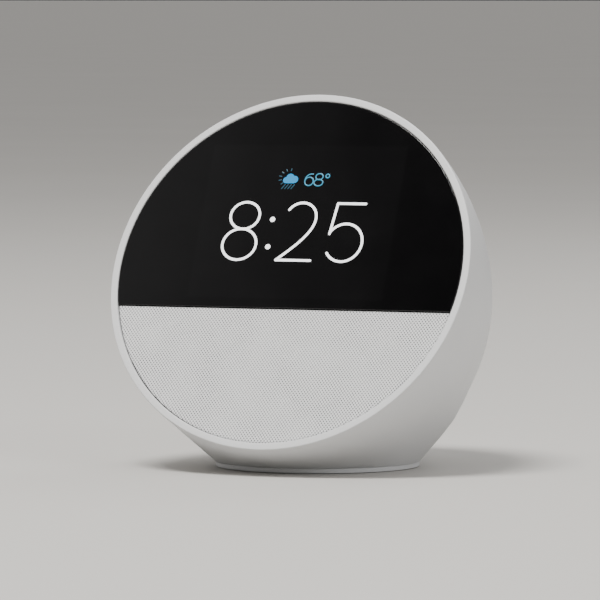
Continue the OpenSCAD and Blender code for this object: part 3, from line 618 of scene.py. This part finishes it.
def wrapped_dome(name, radius, depth, front, house):
    """The back of the housing in the face's own frame, open at the front: a round dome drawn
    out to the belly and the base."""
    base_z = PLATE_HIGH_EDGE
    hull = new("uv_sphere", name + "_form", segments=96, ring_count=96, radius=radius)
    edit(hull)
    bpy.ops.transform.resize(value=(1, 1, depth / radius))
    bpy.ops.mesh.bisect(plane_co=(0, 0, 0), plane_no=(0, 0, 1), clear_outer=True)
    done()
    place(hull, ON_FACE)
    edit(hull)
    bpy.ops.mesh.bisect(plane_co=(0, 0, base_z), plane_no=(0, 0, -1), clear_outer=True)
    done()
    inset = FACE_R - radius
    rings = (
        (radius, ON_FACE.to_translation(), (math.pi / 2 - TILT, 0, 0)),
        (house.base_r - inset, (0, 0, base_z), (0, 0, 0)),
        *(
            (house.belly_r + beyond - inset, (0, 0, house.belly_z + over), (0, 0, 0))
            for beyond, over in BELLY_RINGS
        ),
        (0.73 * house.base_r - inset, (0, 0.13 * house.base_r, base_z - 5 * MM), (0, 0, 0)),
    )
    parts = [
        new("circle", name + "_ring", vertices=192, radius=size, location=spot, rotation=turn)
        for size, spot, turn in rings
    ]
    only(hull, *parts)
    bpy.ops.object.join()
    edit(hull)
    bpy.ops.mesh.convex_hull()
    done()
    place(hull, ON_FACE.inverted())

    within = 0.985
    dome = new("uv_sphere", name, segments=house.segments, ring_count=112, radius=radius * within)
    edit(dome)
    bpy.ops.transform.resize(value=(1, 1, depth / radius))
    bpy.ops.mesh.bisect(plane_co=(0, 0, -front), plane_no=(0, 0, 1),
                        clear_outer=True, threshold=1e-6)
    bpy.ops.mesh.normals_make_consistent(inside=False)
    done()
    apply_modifier(
        dome, "SHRINKWRAP", target=hull, wrap_method="PROJECT",
        use_positive_direction=True, use_negative_direction=False,
    )
    bpy.data.objects.remove(hull)
    return dome


def cut_level(piece, height):
    """Cuts a piece off below a height."""
    edit(piece)
    bpy.ops.mesh.bisect(plane_co=(0, 0, height), plane_no=(0, 0, -1),
                        clear_outer=True, threshold=1e-6)
    done()


def drill(piece, tool):
    apply_modifier(piece, "BOOLEAN", object=tool, operation="DIFFERENCE", solver="EXACT")
    bpy.data.objects.remove(tool)


def drill_shape(name, radius, deep, flare, segments=64):
    """A drill along Z, its tip at -deep, with a chamfer that starts below z = 0."""
    profile = [(radius, -deep), (radius, -flare), (radius + 3 * flare, 2 * flare)]
    return lathe(name, profile, segments)


def row_radius():
    """Radius of the dome where the row of buttons stands."""
    house, keys = settings("display_housing"), settings("display_buttons")
    return FACE_R * math.sqrt(1 - (keys.behind / house.dome_depth) ** 2)


def button_frames():
    """The frame of each button: z points out of the housing and 0 is on its surface."""
    found = {}
    for joint in frame["joints"]:
        if joint["name"].endswith("_press"):
            out = -Vector(joint["axis"]).normalized()
            local = ON_FACE.to_3x3().inverted() @ out
            around = math.atan2(-local.x, local.y)
            found[joint["child"]] = button_frame(around)
    return found


def button_frame(around):
    """The frame on the row of buttons, this far round the dome."""
    house, rho = settings("display_housing"), row_radius()
    behind = settings("display_buttons").behind
    lean = math.atan2(behind / house.dome_depth ** 2, rho / FACE_R ** 2)
    return (
        ON_FACE @ Matrix.Rotation(around, 4, "Z") @ Matrix.Translation((0, rho, -behind))
        @ Matrix.Rotation(-math.pi / 2 - lean, 4, "X")
    )


class DISPLAY_OT_housing(bpy.types.Operator):
    """Model the rounded housing with its ring, its floor and its holes"""

    bl_idname = "display.housing"
    bl_label = "Housing"

    def execute(self, context):
        house, keys = settings("display_housing"), settings("display_buttons")
        bend = house.rim_round
        opening_r = FACE_R - house.wall
        outer = wrapped_dome("housing_shell", FACE_R, house.dome_depth, bend, house)
        inner = wrapped_dome(
            "housing_hollow", opening_r, house.dome_depth - house.wall, house.depth, house
        )
        edit(outer, "DESELECT")
        pick_open_edge(outer)
        turned(outer, [
            *quarter(FACE_R - bend, -bend, bend, 0, 90),
            *quarter(opening_r + bend, -bend, bend, 90, 180),
            (opening_r, -house.depth),
        ])
        done()
        for piece, height, edge_r in (
            (outer, PLATE_HIGH_EDGE, house.base_r),
            (inner, PLATE_HIGH_EDGE + house.wall, house.base_r - house.wall),
        ):
            place(piece, ON_FACE)
            cut_level(piece, height)
            edit(piece, "DESELECT")
            pick_open_edge(piece, lambda co: abs(co.z - height) < 1e-4)
            true_round(piece, edge_r, height)
            shrink = house.floor_hole_r / edge_r
            step_edge((0, 0, 0), (shrink, shrink, 1), (0, 0, height))
            done()
        edit(inner)
        bpy.ops.mesh.flip_normals()
        done()
        only(outer, inner)
        bpy.ops.object.join()
        face_depth = ON_FACE.inverted()
        edit(outer, "DESELECT")
        pick_open_edge(outer, lambda co: co.z < PLATE_HIGH_EDGE + house.wall + 1e-5)
        bpy.ops.mesh.bridge_edge_loops()
        bpy.ops.mesh.select_all(action="DESELECT")
        pick_open_edge(outer, lambda co: abs((face_depth @ co).z + house.depth) < 1e-4)
        bpy.ops.mesh.bridge_edge_loops()
        done()
        tidy(outer)

        for name, where in button_frames().items():
            tool = drill_shape(name + "_drill", keys.radius + keys.gap, 6 * MM, 0.25 * MM)
            drill(outer, place(tool, where))
        for where in self.microphones():
            drill(outer, place(drill_shape("mic_drill", keys.mic_r, 6 * MM, 0.15 * MM, 24), where))
        self.inlet(outer, house)
        tidy(outer, 35)
        wear(outer, shell_finish())
        ride_as(outer, "body", "shell_plastic", "housing")
        return {"FINISHED"}

    def microphones(self):
        """Between neighbouring buttons."""
        side = button_frames()["volume_down"]
        local = ON_FACE.to_3x3().inverted() @ side.to_3x3().col[2]
        step = abs(math.atan2(-local.x, local.y))
        return [button_frame(turn) for turn in (step / 2, -step / 2)]

    def inlet(self, shell, house):
        """A round recess on the back, and the collar that is its floor, with the plug's hole."""
        spot = Matrix.Translation((0, house.inlet_y, house.inlet_z))
        out = spot @ Matrix.Rotation(-math.pi / 2, 4, "X")
        through, clear = 12 * MM, 9 * MM
        recess = lathe("recess_drill", [(house.inlet_rim_r, -through), (house.inlet_rim_r, clear)])
        drill(shell, place(recess, out))
        overlap, collar_t = 1.8 * MM, 3 * MM
        collar_r = house.inlet_rim_r + overlap
        collar = lathe("inlet_collar", [(collar_r, -collar_t), (collar_r, 0)])
        drill(collar, drill_shape("plug_drill", house.inlet_r, 8 * MM, 0.2 * MM))
        place(collar, out)
        tidy(collar, 35)
        wear(collar, shell_finish())
        ride_as(collar, "body", "shell_plastic")


class DISPLAY_OT_lens(bpy.types.Operator):
    """Model the cover lens over the screen"""

    bl_idname = "display.lens"
    bl_label = "Cover lens"

    def execute(self, context):
        front = settings("display_front")
        middle = -front.lens_recess - front.lens_t / 2
        lens = new("cylinder", "lens_glass", vertices=256, radius=LENS_R, depth=front.lens_t,
                   location=(0, 0, middle))
        settle(lens)
        edit(lens)
        gap = 0.08 * MM
        bpy.ops.mesh.bisect(plane_co=(0, gap - front.split, 0), plane_no=(0, -1, 0),
                            clear_outer=True, use_fill=True, threshold=1e-6)
        done()
        bevel_sharp(lens, 0.18 * MM)
        place(lens, ON_FACE)
        tidy(lens, 30)
        wear(lens, glass_finish())
        ride_as(lens, "body", "screen_glass", "cover_lens")
        return {"FINISHED"}


# Strokes of the clock, in millimetres on the face

def bezier(p0, p1, p2, p3, steps=24):
    points = []
    for i in range(steps + 1):
        t = i / steps
        weights = ((1 - t) ** 3, 3 * t * (1 - t) ** 2, 3 * t * t * (1 - t), t ** 3)
        pairs = list(zip(weights, (p0, p1, p2, p3)))
        points.append(tuple(sum(w * p[k] for w, p in pairs) for k in range(2)))
    return points


def stroke_piece(name, strokes, width, material, lift):
    """Rounded flat strokes on the glass: each is (points, closed)."""
    front = settings("display_front")
    curve = bpy.data.curves.new(name, "CURVE")
    curve.dimensions = "3D"
    curve.bevel_depth = width / 2
    curve.bevel_resolution = 3
    curve.use_fill_caps = False
    for points, closed in strokes:
        if closed:
            points = points[:-1]
        line = curve.splines.new("POLY")
        line.points.add(len(points) - 1)
        for point, (x, y) in zip(line.points, points):
            point.co = (x * MM, y * MM, 0, 1)
        line.use_cyclic_u = closed
    piece = bpy.data.objects.new(name, curve)
    bpy.context.scene.collection.objects.link(piece)
    only(piece)
    bpy.ops.object.convert(target="MESH")
    for points, closed in strokes:
        for x, y in () if closed else (points[0], points[-1]):
            tip = new("uv_sphere", name + "_tip", segments=16, ring_count=8, radius=width / 2,
                      location=(x * MM, y * MM, 0))
            only(piece, tip)
            bpy.ops.object.join()
    edit(piece)
    bpy.ops.transform.resize(value=(1, 1, lift / width), center_override=(0, 0, 0))
    done()
    look = settings("display_readout")
    over = 0.45 * lift - front.lens_recess
    place(piece, ON_FACE @ Matrix.Translation((look.across, look.up, over)))
    tidy(piece, 60)
    wear(piece, material)
    return ride_as(piece, "body", "screen_glass")


class DISPLAY_OT_clock(bpy.types.Operator):
    """Draw the time on the screen in thin rounded strokes"""

    bl_idname = "display.clock"
    bl_label = "Clock"

    def execute(self, context):
        look = settings("display_readout")
        eight = [
            (arc((-17.5, 17.7), (4.65, 4.3), 0, 360), True),
            (arc((-17.8, 8.5), (5.4, 4.95), 0, 360), True),
        ]
        two = [
            (arc((0.45, 17.2), (4.85, 4.85), 148, 0, 20)
             + bezier((5.3, 17.2), (5.3, 12.8), (0.6, 8.6), (-5.3, 3.7))[1:], False),
            ([(-5.3, 3.7), (5.7, 3.7)], False),
        ]
        five = [
            ([(20.3, 22.0), (11.5, 22.0)], False),
            ([(11.5, 22.0), (10.4, 12.3)], False),
            (arc((15.35, 9.55), (5.8, 6.0), 149, -146, 36), False),
        ]
        white = glowing("Clock light", look.white, 3.0)
        stroke_piece("clock_digits", eight + two + five, look.stroke, white, look.lift)
        dots = [(arc((-8.5, v), (0.45, 0.45), 0, 360, 12), True) for v in (16.6, 7.85)]
        stroke_piece("clock_colon", dots, look.stroke, white, look.lift)
        return {"FINISHED"}


class DISPLAY_OT_weather(bpy.types.Operator):
    """Draw the temperature and a small cloud above the clock"""

    bl_idname = "display.weather"
    bl_label = "Weather"

    def execute(self, context):
        look = settings("display_readout")
        blue = glowing("Temperature light", look.blue, 0.8)
        six = [
            (arc((0.95, 28.95), (1.35, 1.35), 0, 360, 24), True),
            (bezier((-0.4, 28.95), (-0.45, 30.4), (0.4, 31.5), (1.95, 31.3), 14), False),
        ]
        eight = [
            (arc((4.05, 30.5), (1.15, 0.98), 0, 360, 24), True),
            (arc((4.0, 28.6), (1.4, 1.05), 0, 360, 24), True),
        ]
        degree = [(arc((6.65, 30.75), (0.6, 0.6), 0, 360, 20), True)]
        stroke_piece("temperature_digits", six + eight + degree, look.small_stroke, blue, look.lift)
        self.cloud(look)
        dim = glowing("Dim rays", scaled(look.blue, 0.22), 1.0)
        rays = [
            ([arc((-5.5, 30.0), radii, a, a, 1)[0] for radii in ((2.6, 2.3), (3.3, 2.9))], False)
            for a in range(85, 226, 28)
        ]
        rain = [([(x, 27.8), (x - 0.9, 26.5)], False) for x in (-6.5, -5.5, -4.5, -3.5)]
        stroke_piece("weather_rays", rays + rain, 0.3 * MM, dim, look.lift)
        return {"FINISHED"}

    def cloud(self, look):
        """One flat rounded cloud, joined from discs and a bar."""
        front = settings("display_front")
        lumps = ((-6.4, 29.25, 1.0), (-5.2, 30.05, 1.3), (-3.75, 29.5, 1.15), (-5.0, 29.05, 0.8))
        discs = [
            new("cylinder", "weather_cloud", vertices=40, radius=size * MM, depth=0.8 * look.lift,
                location=(x * MM, y * MM, 0.5 * look.lift))
            for x, y, size in lumps
        ]
        discs.append(new(
            "cube", "weather_cloud_bar", size=1, scale=(2.7 * MM, 1.1 * MM, 0.8 * look.lift),
            location=(-5.05 * MM, 28.8 * MM, 0.5 * look.lift),
        ))
        cloud = discs[0]
        settle(cloud)
        for disc in discs[1:]:
            settle(disc)
            apply_modifier(cloud, "BOOLEAN", object=disc, operation="UNION", solver="EXACT")
            bpy.data.objects.remove(disc)
        place(cloud, ON_FACE @ Matrix.Translation((look.across, look.up, -front.lens_recess)))
        tidy(cloud, 30)
        wear(cloud, glowing("Cloud light", look.cloud, 0.9))
        ride_as(cloud, "body", "screen_glass")


class DISPLAY_OT_grille(bpy.types.Operator):
    """Stretch the woven fabric over the speaker's grille"""

    bl_idname = "display.grille"
    bl_label = "Grille fabric"

    def execute(self, context):
        weave, front = settings("display_weave"), settings("display_front")
        step_x, step_y = weave.pitch / 4, weave.row / 3
        top = -front.split - 0.08 * MM
        across = 2 * math.ceil(FABRIC_R / step_x) + 2
        down = math.ceil((FABRIC_R + top) / step_y) + 1
        cloth = new("grid", "grille_cloth", x_subdivisions=across, y_subdivisions=down, size=1)
        high, wide = down * step_y, across * step_x
        middle = Matrix.Translation((0, top - high / 2, 0))
        place(cloth, middle @ Matrix.Diagonal((wide, high, 1, 1)))
        self.trim(cloth, FABRIC_R, max(step_x, step_y))
        self.press(cloth, weave, top)
        edit(cloth, "DESELECT")
        pick_open_edge(cloth)
        roll = 0.12 * MM
        step_edge((0, 0, -roll))
        step_edge((0, 0, -(weave.thickness - roll)))
        bpy.ops.mesh.edge_face_add()
        done()
        place(cloth, ON_FACE @ Matrix.Translation((0, 0, -weave.recess)))
        tidy(cloth, 50)
        wear(cloth, finish(
            "Woven grille cloth", "weave", (tuple(weave.light), tuple(weave.dark)), None, 0.03 * MM,
            matrix=ON_FACE.inverted(), extra={"Pitch": weave.pitch, "Row": weave.row},
            shader_values={
                "Sheen Weight": 0.15, "Sheen Roughness": 0.5, "Specular IOR Level": 0.25,
            },
        ))
        ride_as(cloth, "body", "grille_fabric", "grille_fabric")
        return {"FINISHED"}

    def trim(self, cloth, radius, step):
        """Cuts the grid to the disc and puts its edge exactly on the circle."""
        mesh = bmesh.new()
        mesh.from_mesh(cloth.data)
        far = [v for v in mesh.verts if v.co.xy.length > radius + 0.5 * step]
        bmesh.ops.delete(mesh, geom=far, context="VERTS")
        for vertex in mesh.verts:
            if vertex.co.xy.length > radius - 0.5 * step:
                vertex.co.xy = vertex.co.xy.normalized() * radius
        loose = [v for v in mesh.verts if not v.link_faces]
        bmesh.ops.delete(mesh, geom=loose, context="VERTS")
        mesh.to_mesh(cloth.data)
        mesh.free()

    def press(self, cloth, weave, top):
        """Presses the holes between the yarns and rounds the cloth over the plate's edge."""
        edge = 0.5 * MM
        for vertex in cloth.data.vertices:
            x, y, _ = vertex.co
            wave = math.cos(math.tau * x / weave.pitch) * math.cos(math.pi * y / weave.row)
            height = -weave.dent * max(0, wave) ** 1.5 + 0.3 * weave.dent * max(0, -wave)
            inside = min(FABRIC_R - math.hypot(x, y), top - y)
            fall = max(0, 1 - inside / edge)
            vertex.co.z = height * (1 - fall) - 0.22 * MM * fall ** 2


class DISPLAY_OT_buttons(bpy.types.Operator):
    """Model the three buttons with dished caps and raised signs"""

    bl_idname = "display.buttons"
    bl_label = "Buttons"

    def execute(self, context):
        keys = settings("display_buttons")
        signs = {
            "volume_down": ((0, 0, 2.6, 0.5),),
            "volume_up": ((0, 0, 2.6, 0.5), (0, 0, 0.5, 2.6)),
            "mic_off": ((0, 0, 1.0, 2.4),),
        }
        for body, where in button_frames().items():
            lip, lip_t, stem, stem_end = -3.2 * MM, 0.7 * MM, 1.5 * MM, -5.5 * MM
            lip_r, round_r = keys.radius + 0.9 * MM, 0.45 * MM
            top = keys.proud - round_r
            cap = lathe(body + "_cap", [
                (stem, stem_end), (stem, lip - lip_t), (lip_r, lip - lip_t),
                (lip_r, lip), (keys.radius, lip),
                *quarter(keys.radius - round_r, top, round_r, 0, 90, 4),
                (0.72 * keys.radius, keys.proud - 0.35 * keys.dish),
                (0.40 * keys.radius, keys.proud - 0.85 * keys.dish),
                (0.12 * keys.radius, keys.proud - keys.dish),
            ], 64)
            sign_z = keys.proud - keys.dish
            for x, y, wide, high in signs[body]:
                bar = new("cube", body + "_sign", size=1, location=(x * MM, y * MM, sign_z),
                          scale=(wide * MM, high * MM, 0.36 * MM))
                settle(bar)
                bevel_sharp(bar, 0.12 * MM, 3)
                apply_modifier(cap, "BOOLEAN", object=bar, operation="UNION", solver="EXACT")
                bpy.data.objects.remove(bar)
            place(cap, where)
            tidy(cap, 35)
            wear(cap, shell_finish())
            ride_as(cap, body, "shell_plastic", body + "_button")
        return {"FINISHED"}


class DISPLAY_OT_base(bpy.types.Operator):
    """Model the base plate and the rubber foot"""

    bl_idname = "display.base"
    bl_label = "Base"

    def execute(self, context):
        house = settings("display_housing")
        plate_r = (PLATE_HIGH.x - PLATE_LOW.x) / 2
        foot_r = (FOOT_HIGH.x - FOOT_LOW.x) / 2
        bend = 0.25 * MM
        low, top = PLATE_LOW.z, PLATE_HIGH_EDGE
        plug_r, plug_wall = house.floor_hole_r - 0.3 * MM, 1.5 * MM
        lip = 0.15 * MM
        lip_r = foot_r + 0.2 * MM
        plate = lathe("base_disc", [
            (lip_r, low), (lip_r, lip),
            *quarter(plate_r - bend, lip + bend, bend, -90, 0),
            *quarter(plate_r - bend, top - bend, bend, 0, 90),
            (plug_r, top), (plug_r, PLATE_HIGH.z), (plug_r - plug_wall, PLATE_HIGH.z),
            (plug_r - plug_wall, top), (0.3 * plug_r, top),
        ], 160)
        tidy(plate, 35)
        wear(plate, shell_finish())
        ride_as(plate, "body", "shell_plastic", "base_plate")

        groove = 0.25 * MM
        foot = lathe("foot_ring", [
            (0.55 * foot_r, 0), (0.60 * foot_r, groove),
            (0.64 * foot_r, groove), (0.69 * foot_r, 0),
            *quarter(foot_r - bend, bend, bend, -90, 0),
            (foot_r, FOOT_HIGH.z), (0.5 * foot_r, FOOT_HIGH.z),
        ], 160)
        tidy(foot, 35)
        wear(foot, moulded(
            "Foot rubber", (0.10, 0.10, 0.10), (0.07, 0.07, 0.07), (0.75, 0.9), 0.03 * MM
        ))
        ride_as(foot, "body", "foot_rubber", "foot_pad")
        return {"FINISHED"}


class DISPLAY_OT_insides(bpy.types.Operator):
    """Give every remaining part its own finish"""

    bl_idname = "display.insides"
    bl_label = "Inner parts"

    def execute(self, context):
        black, grey = (0.022, 0.022, 0.024), (0.55, 0.56, 0.58)
        finishes = {
            "shell_plastic": shell_finish(),
            "foot_rubber": moulded(
                "Pad rubber", (0.1, 0.1, 0.1), (0.07, 0.07, 0.07), (0.75, 0.9), 0.03 * MM,
            ),
            "screen_glass": moulded(
                "Plain glass", (0.01, 0.01, 0.01), (0.02, 0.02, 0.02), (0.05, 0.1), 1e-6,
            ),
            "grille_fabric": moulded(
                "Plain cloth", (0.6, 0.6, 0.6), (0.5, 0.5, 0.5), (0.8, 0.95), 0.05 * MM,
            ),
            "dark_plastic": moulded(
                "Dark plastic", black, scaled(black, 1.5), (0.45, 0.6), 0.015 * MM,
            ),
            "panel_glass": moulded(
                "Panel glass", (0.05, 0.055, 0.06), (0.04, 0.045, 0.05), (0.08, 0.14), 1e-6,
            ),
            "light_guide": moulded(
                "Light guide", (0.85, 0.86, 0.88), (0.8, 0.8, 0.82), (0.2, 0.3), 1e-5,
            ),
            "steel": drawn("Drawn steel", grey, scaled(grey, 0.8), (0.25, 0.4)),
            "soft_rubber": moulded(
                "Soft rubber", (0.02, 0.02, 0.02), (0.03, 0.03, 0.03), (0.6, 0.8), 0.02 * MM,
            ),
            "spider_cloth": moulded(
                "Spider cloth", (0.5, 0.36, 0.14), (0.4, 0.28, 0.1), (0.7, 0.9), 0.05 * MM,
            ),
            "cone_paper": moulded(
                "Cone paper", (0.03, 0.03, 0.032), (0.05, 0.05, 0.05), (0.8, 0.95), 0.06 * MM,
                grain=900.0,
            ),
            "copper_wire": drawn("Copper wire", (0.75, 0.36, 0.18), (0.5, 0.2, 0.1), (0.2, 0.35)),
            "magnet_ferrite": moulded(
                "Ferrite", (0.035, 0.035, 0.04), (0.06, 0.06, 0.065), (0.5, 0.7), 0.02 * MM,
                scuffs=0.3,
            ),
            "circuit_board": moulded(
                "Solder mask", (0.01, 0.10, 0.04), (0.02, 0.15, 0.06), (0.25, 0.35), 0.01 * MM,
                patch=300.0,
            ),
            "sink_aluminium": drawn(
                "Satin aluminium", (0.72, 0.73, 0.75), (0.6, 0.61, 0.63), (0.3, 0.45),
            ),
            "flex_film": moulded(
                "Flex film", (0.55, 0.22, 0.03), (0.45, 0.16, 0.02), (0.25, 0.35), 1e-5,
            ),
            "wire_jacket": moulded(
                "Wire jacket", (0.02, 0.02, 0.02), (0.035, 0.035, 0.035), (0.4, 0.5), 1e-5,
            ),
            "mic_metal": drawn("Plated can", (0.78, 0.66, 0.36), (0.6, 0.5, 0.25), (0.25, 0.4)),
            "switch_stem": moulded(
                "Switch stem", (0.55, 0.5, 0.4), (0.5, 0.45, 0.35), (0.35, 0.45), 1e-5,
            ),
        }
        for part in frame["record"]["subparts"]:
            cad = frame["nodes"][part["node"]]
            cad.data.materials.clear()
            cad.data.materials.append(finishes[part["material_slot"]])
        return {"FINISHED"}


class DISPLAY_OT_stage(bpy.types.Operator):
    """Lay the floor, hang the lights and set the camera"""

    bl_idname = "display.stage"
    bl_label = "Stage"

    def execute(self, context):
        stage = settings("display_stage")
        floor = new("plane", "studio_floor", size=300, location=(0, 0, 0))
        settle(floor)
        wear(floor, moulded(
            "Studio floor", tuple(stage.floor), scaled(stage.floor, 0.97), (0.7, 0.8), 1e-5,
            grain=300.0, patch=4.0,
        ))
        self.room(context, stage)
        self.light("key", (-0.2, -0.9, 2.1), 0.8, stage.key, (1.0, 0.985, 0.96))
        self.light("fill", (1.5, -0.9, 1.0), 0.9, stage.fill, (0.97, 0.98, 1.0))
        self.light("back", (0.3, 1.3, 1.2), 0.9, stage.back, (1, 1, 1))
        self.camera(context, stage)
        return {"FINISHED"}

    def toward_camera(self, stage):
        az, el = math.radians(stage.azimuth), math.radians(stage.elevation)
        return Vector((math.sin(az) * math.cos(el), -math.cos(az) * math.cos(el), math.sin(el)))

    def room(self, context, stage):
        """A pale room with one dark side, which the glass mirrors as a soft gradient."""
        world = bpy.data.worlds.new("Studio")
        world.use_nodes = True
        tree = world.node_tree
        away = self.toward_camera(stage)
        mirrored = 2 * away.dot(FACE_OUT) * FACE_OUT - away
        dark_side = (mirrored + Vector(stage.dark_side)).normalized()
        facing = node(tree, "TexCoord").outputs["Generated"]
        aim = node(tree, "VectorMath", operation="DOT_PRODUCT")
        aim.inputs[1].default_value = dark_side
        tree.links.new(facing, aim.inputs[0])
        angle = dark_side.angle(mirrored) + math.radians(stage.dark_shift)
        soft = math.radians(stage.dark_soft)
        ramp = node(tree, "MapRange", interpolation_type="SMOOTHSTEP",
                    From_Min=math.cos(angle + soft), From_Max=math.cos(angle - soft))
        tree.links.new(aim.outputs["Value"], ramp.inputs["Value"])
        height = node(tree, "SeparateXYZ")
        tree.links.new(facing, height.inputs[0])
        rise = node(tree, "MapRange", From_Min=0.0, From_Max=0.6)
        tree.links.new(height.outputs["Z"], rise.inputs["Value"])
        room = blend_colour(tree, rise.outputs["Result"], tuple(stage.horizon), tuple(stage.room))
        tone = blend_colour(tree, ramp.outputs["Result"], room, tuple(stage.dark))
        tree.links.new(tone, tree.nodes["Background"].inputs["Color"])
        tree.nodes["Background"].inputs["Strength"].default_value = 1.0
        context.scene.world = world

    def light(self, name, place_at, size, power, colour):
        data = bpy.data.lights.new(name, "AREA")
        data.shape, data.size, data.energy, data.color = "DISK", size, power, colour
        lamp = bpy.data.objects.new(name, data)
        lamp.location = place_at
        aim = FACE_CENTRE - Vector(place_at)
        lamp.rotation_euler = aim.to_track_quat("-Z", "Y").to_euler()
        bpy.context.scene.collection.objects.link(lamp)

    def camera(self, context, stage):
        away = self.toward_camera(stage)
        data = bpy.data.cameras.new("camera")
        data.lens, data.sensor_width = stage.lens, 36
        data.shift_x, data.shift_y = stage.shift_x, stage.shift_y
        camera = bpy.data.objects.new("camera", data)
        camera.location = FACE_CENTRE + away * stage.distance
        camera.rotation_euler = (-away).to_track_quat("-Z", "Y").to_euler()
        context.scene.collection.objects.link(camera)
        context.scene.camera = camera


OPERATORS = (
    DISPLAY_OT_housing,
    DISPLAY_OT_lens,
    DISPLAY_OT_clock,
    DISPLAY_OT_weather,
    DISPLAY_OT_grille,
    DISPLAY_OT_buttons,
    DISPLAY_OT_base,
    DISPLAY_OT_insides,
    DISPLAY_OT_stage,
)


class DISPLAY_PT_pieces(bpy.types.Panel):
    """Lists the pieces in the order they are made"""

    bl_idname = "DISPLAY_PT_pieces"
    bl_label = "Smart display"
    bl_space_type = "VIEW_3D"
    bl_region_type = "UI"
    bl_category = "Display"

    def draw(self, context):
        for operator in OPERATORS:
            self.layout.operator(operator.bl_idname)
        for name in SETTINGS:
            box = self.layout.box()
            group = getattr(context.scene, name)
            for prop in group.bl_rna.properties:
                if prop.identifier not in ("rna_type", "name"):
                    box.prop(group, prop.identifier)


def register():
    for name, group in SETTINGS.items():
        bpy.utils.register_class(group)
        setattr(bpy.types.Scene, name, PointerProperty(type=group))
    for cls in (*OPERATORS, DISPLAY_PT_pieces):
        bpy.utils.register_class(cls)


def unregister():
    for cls in (DISPLAY_PT_pieces, *reversed(OPERATORS)):
        bpy.utils.unregister_class(cls)
    for name, group in SETTINGS.items():
        delattr(bpy.types.Scene, name)
        bpy.utils.unregister_class(group)


def main():
    register()
    for operator in OPERATORS:
        group, verb = operator.bl_idname.split(".")
        getattr(getattr(bpy.ops, group), verb)()


if __name__ == "__main__":
    main()
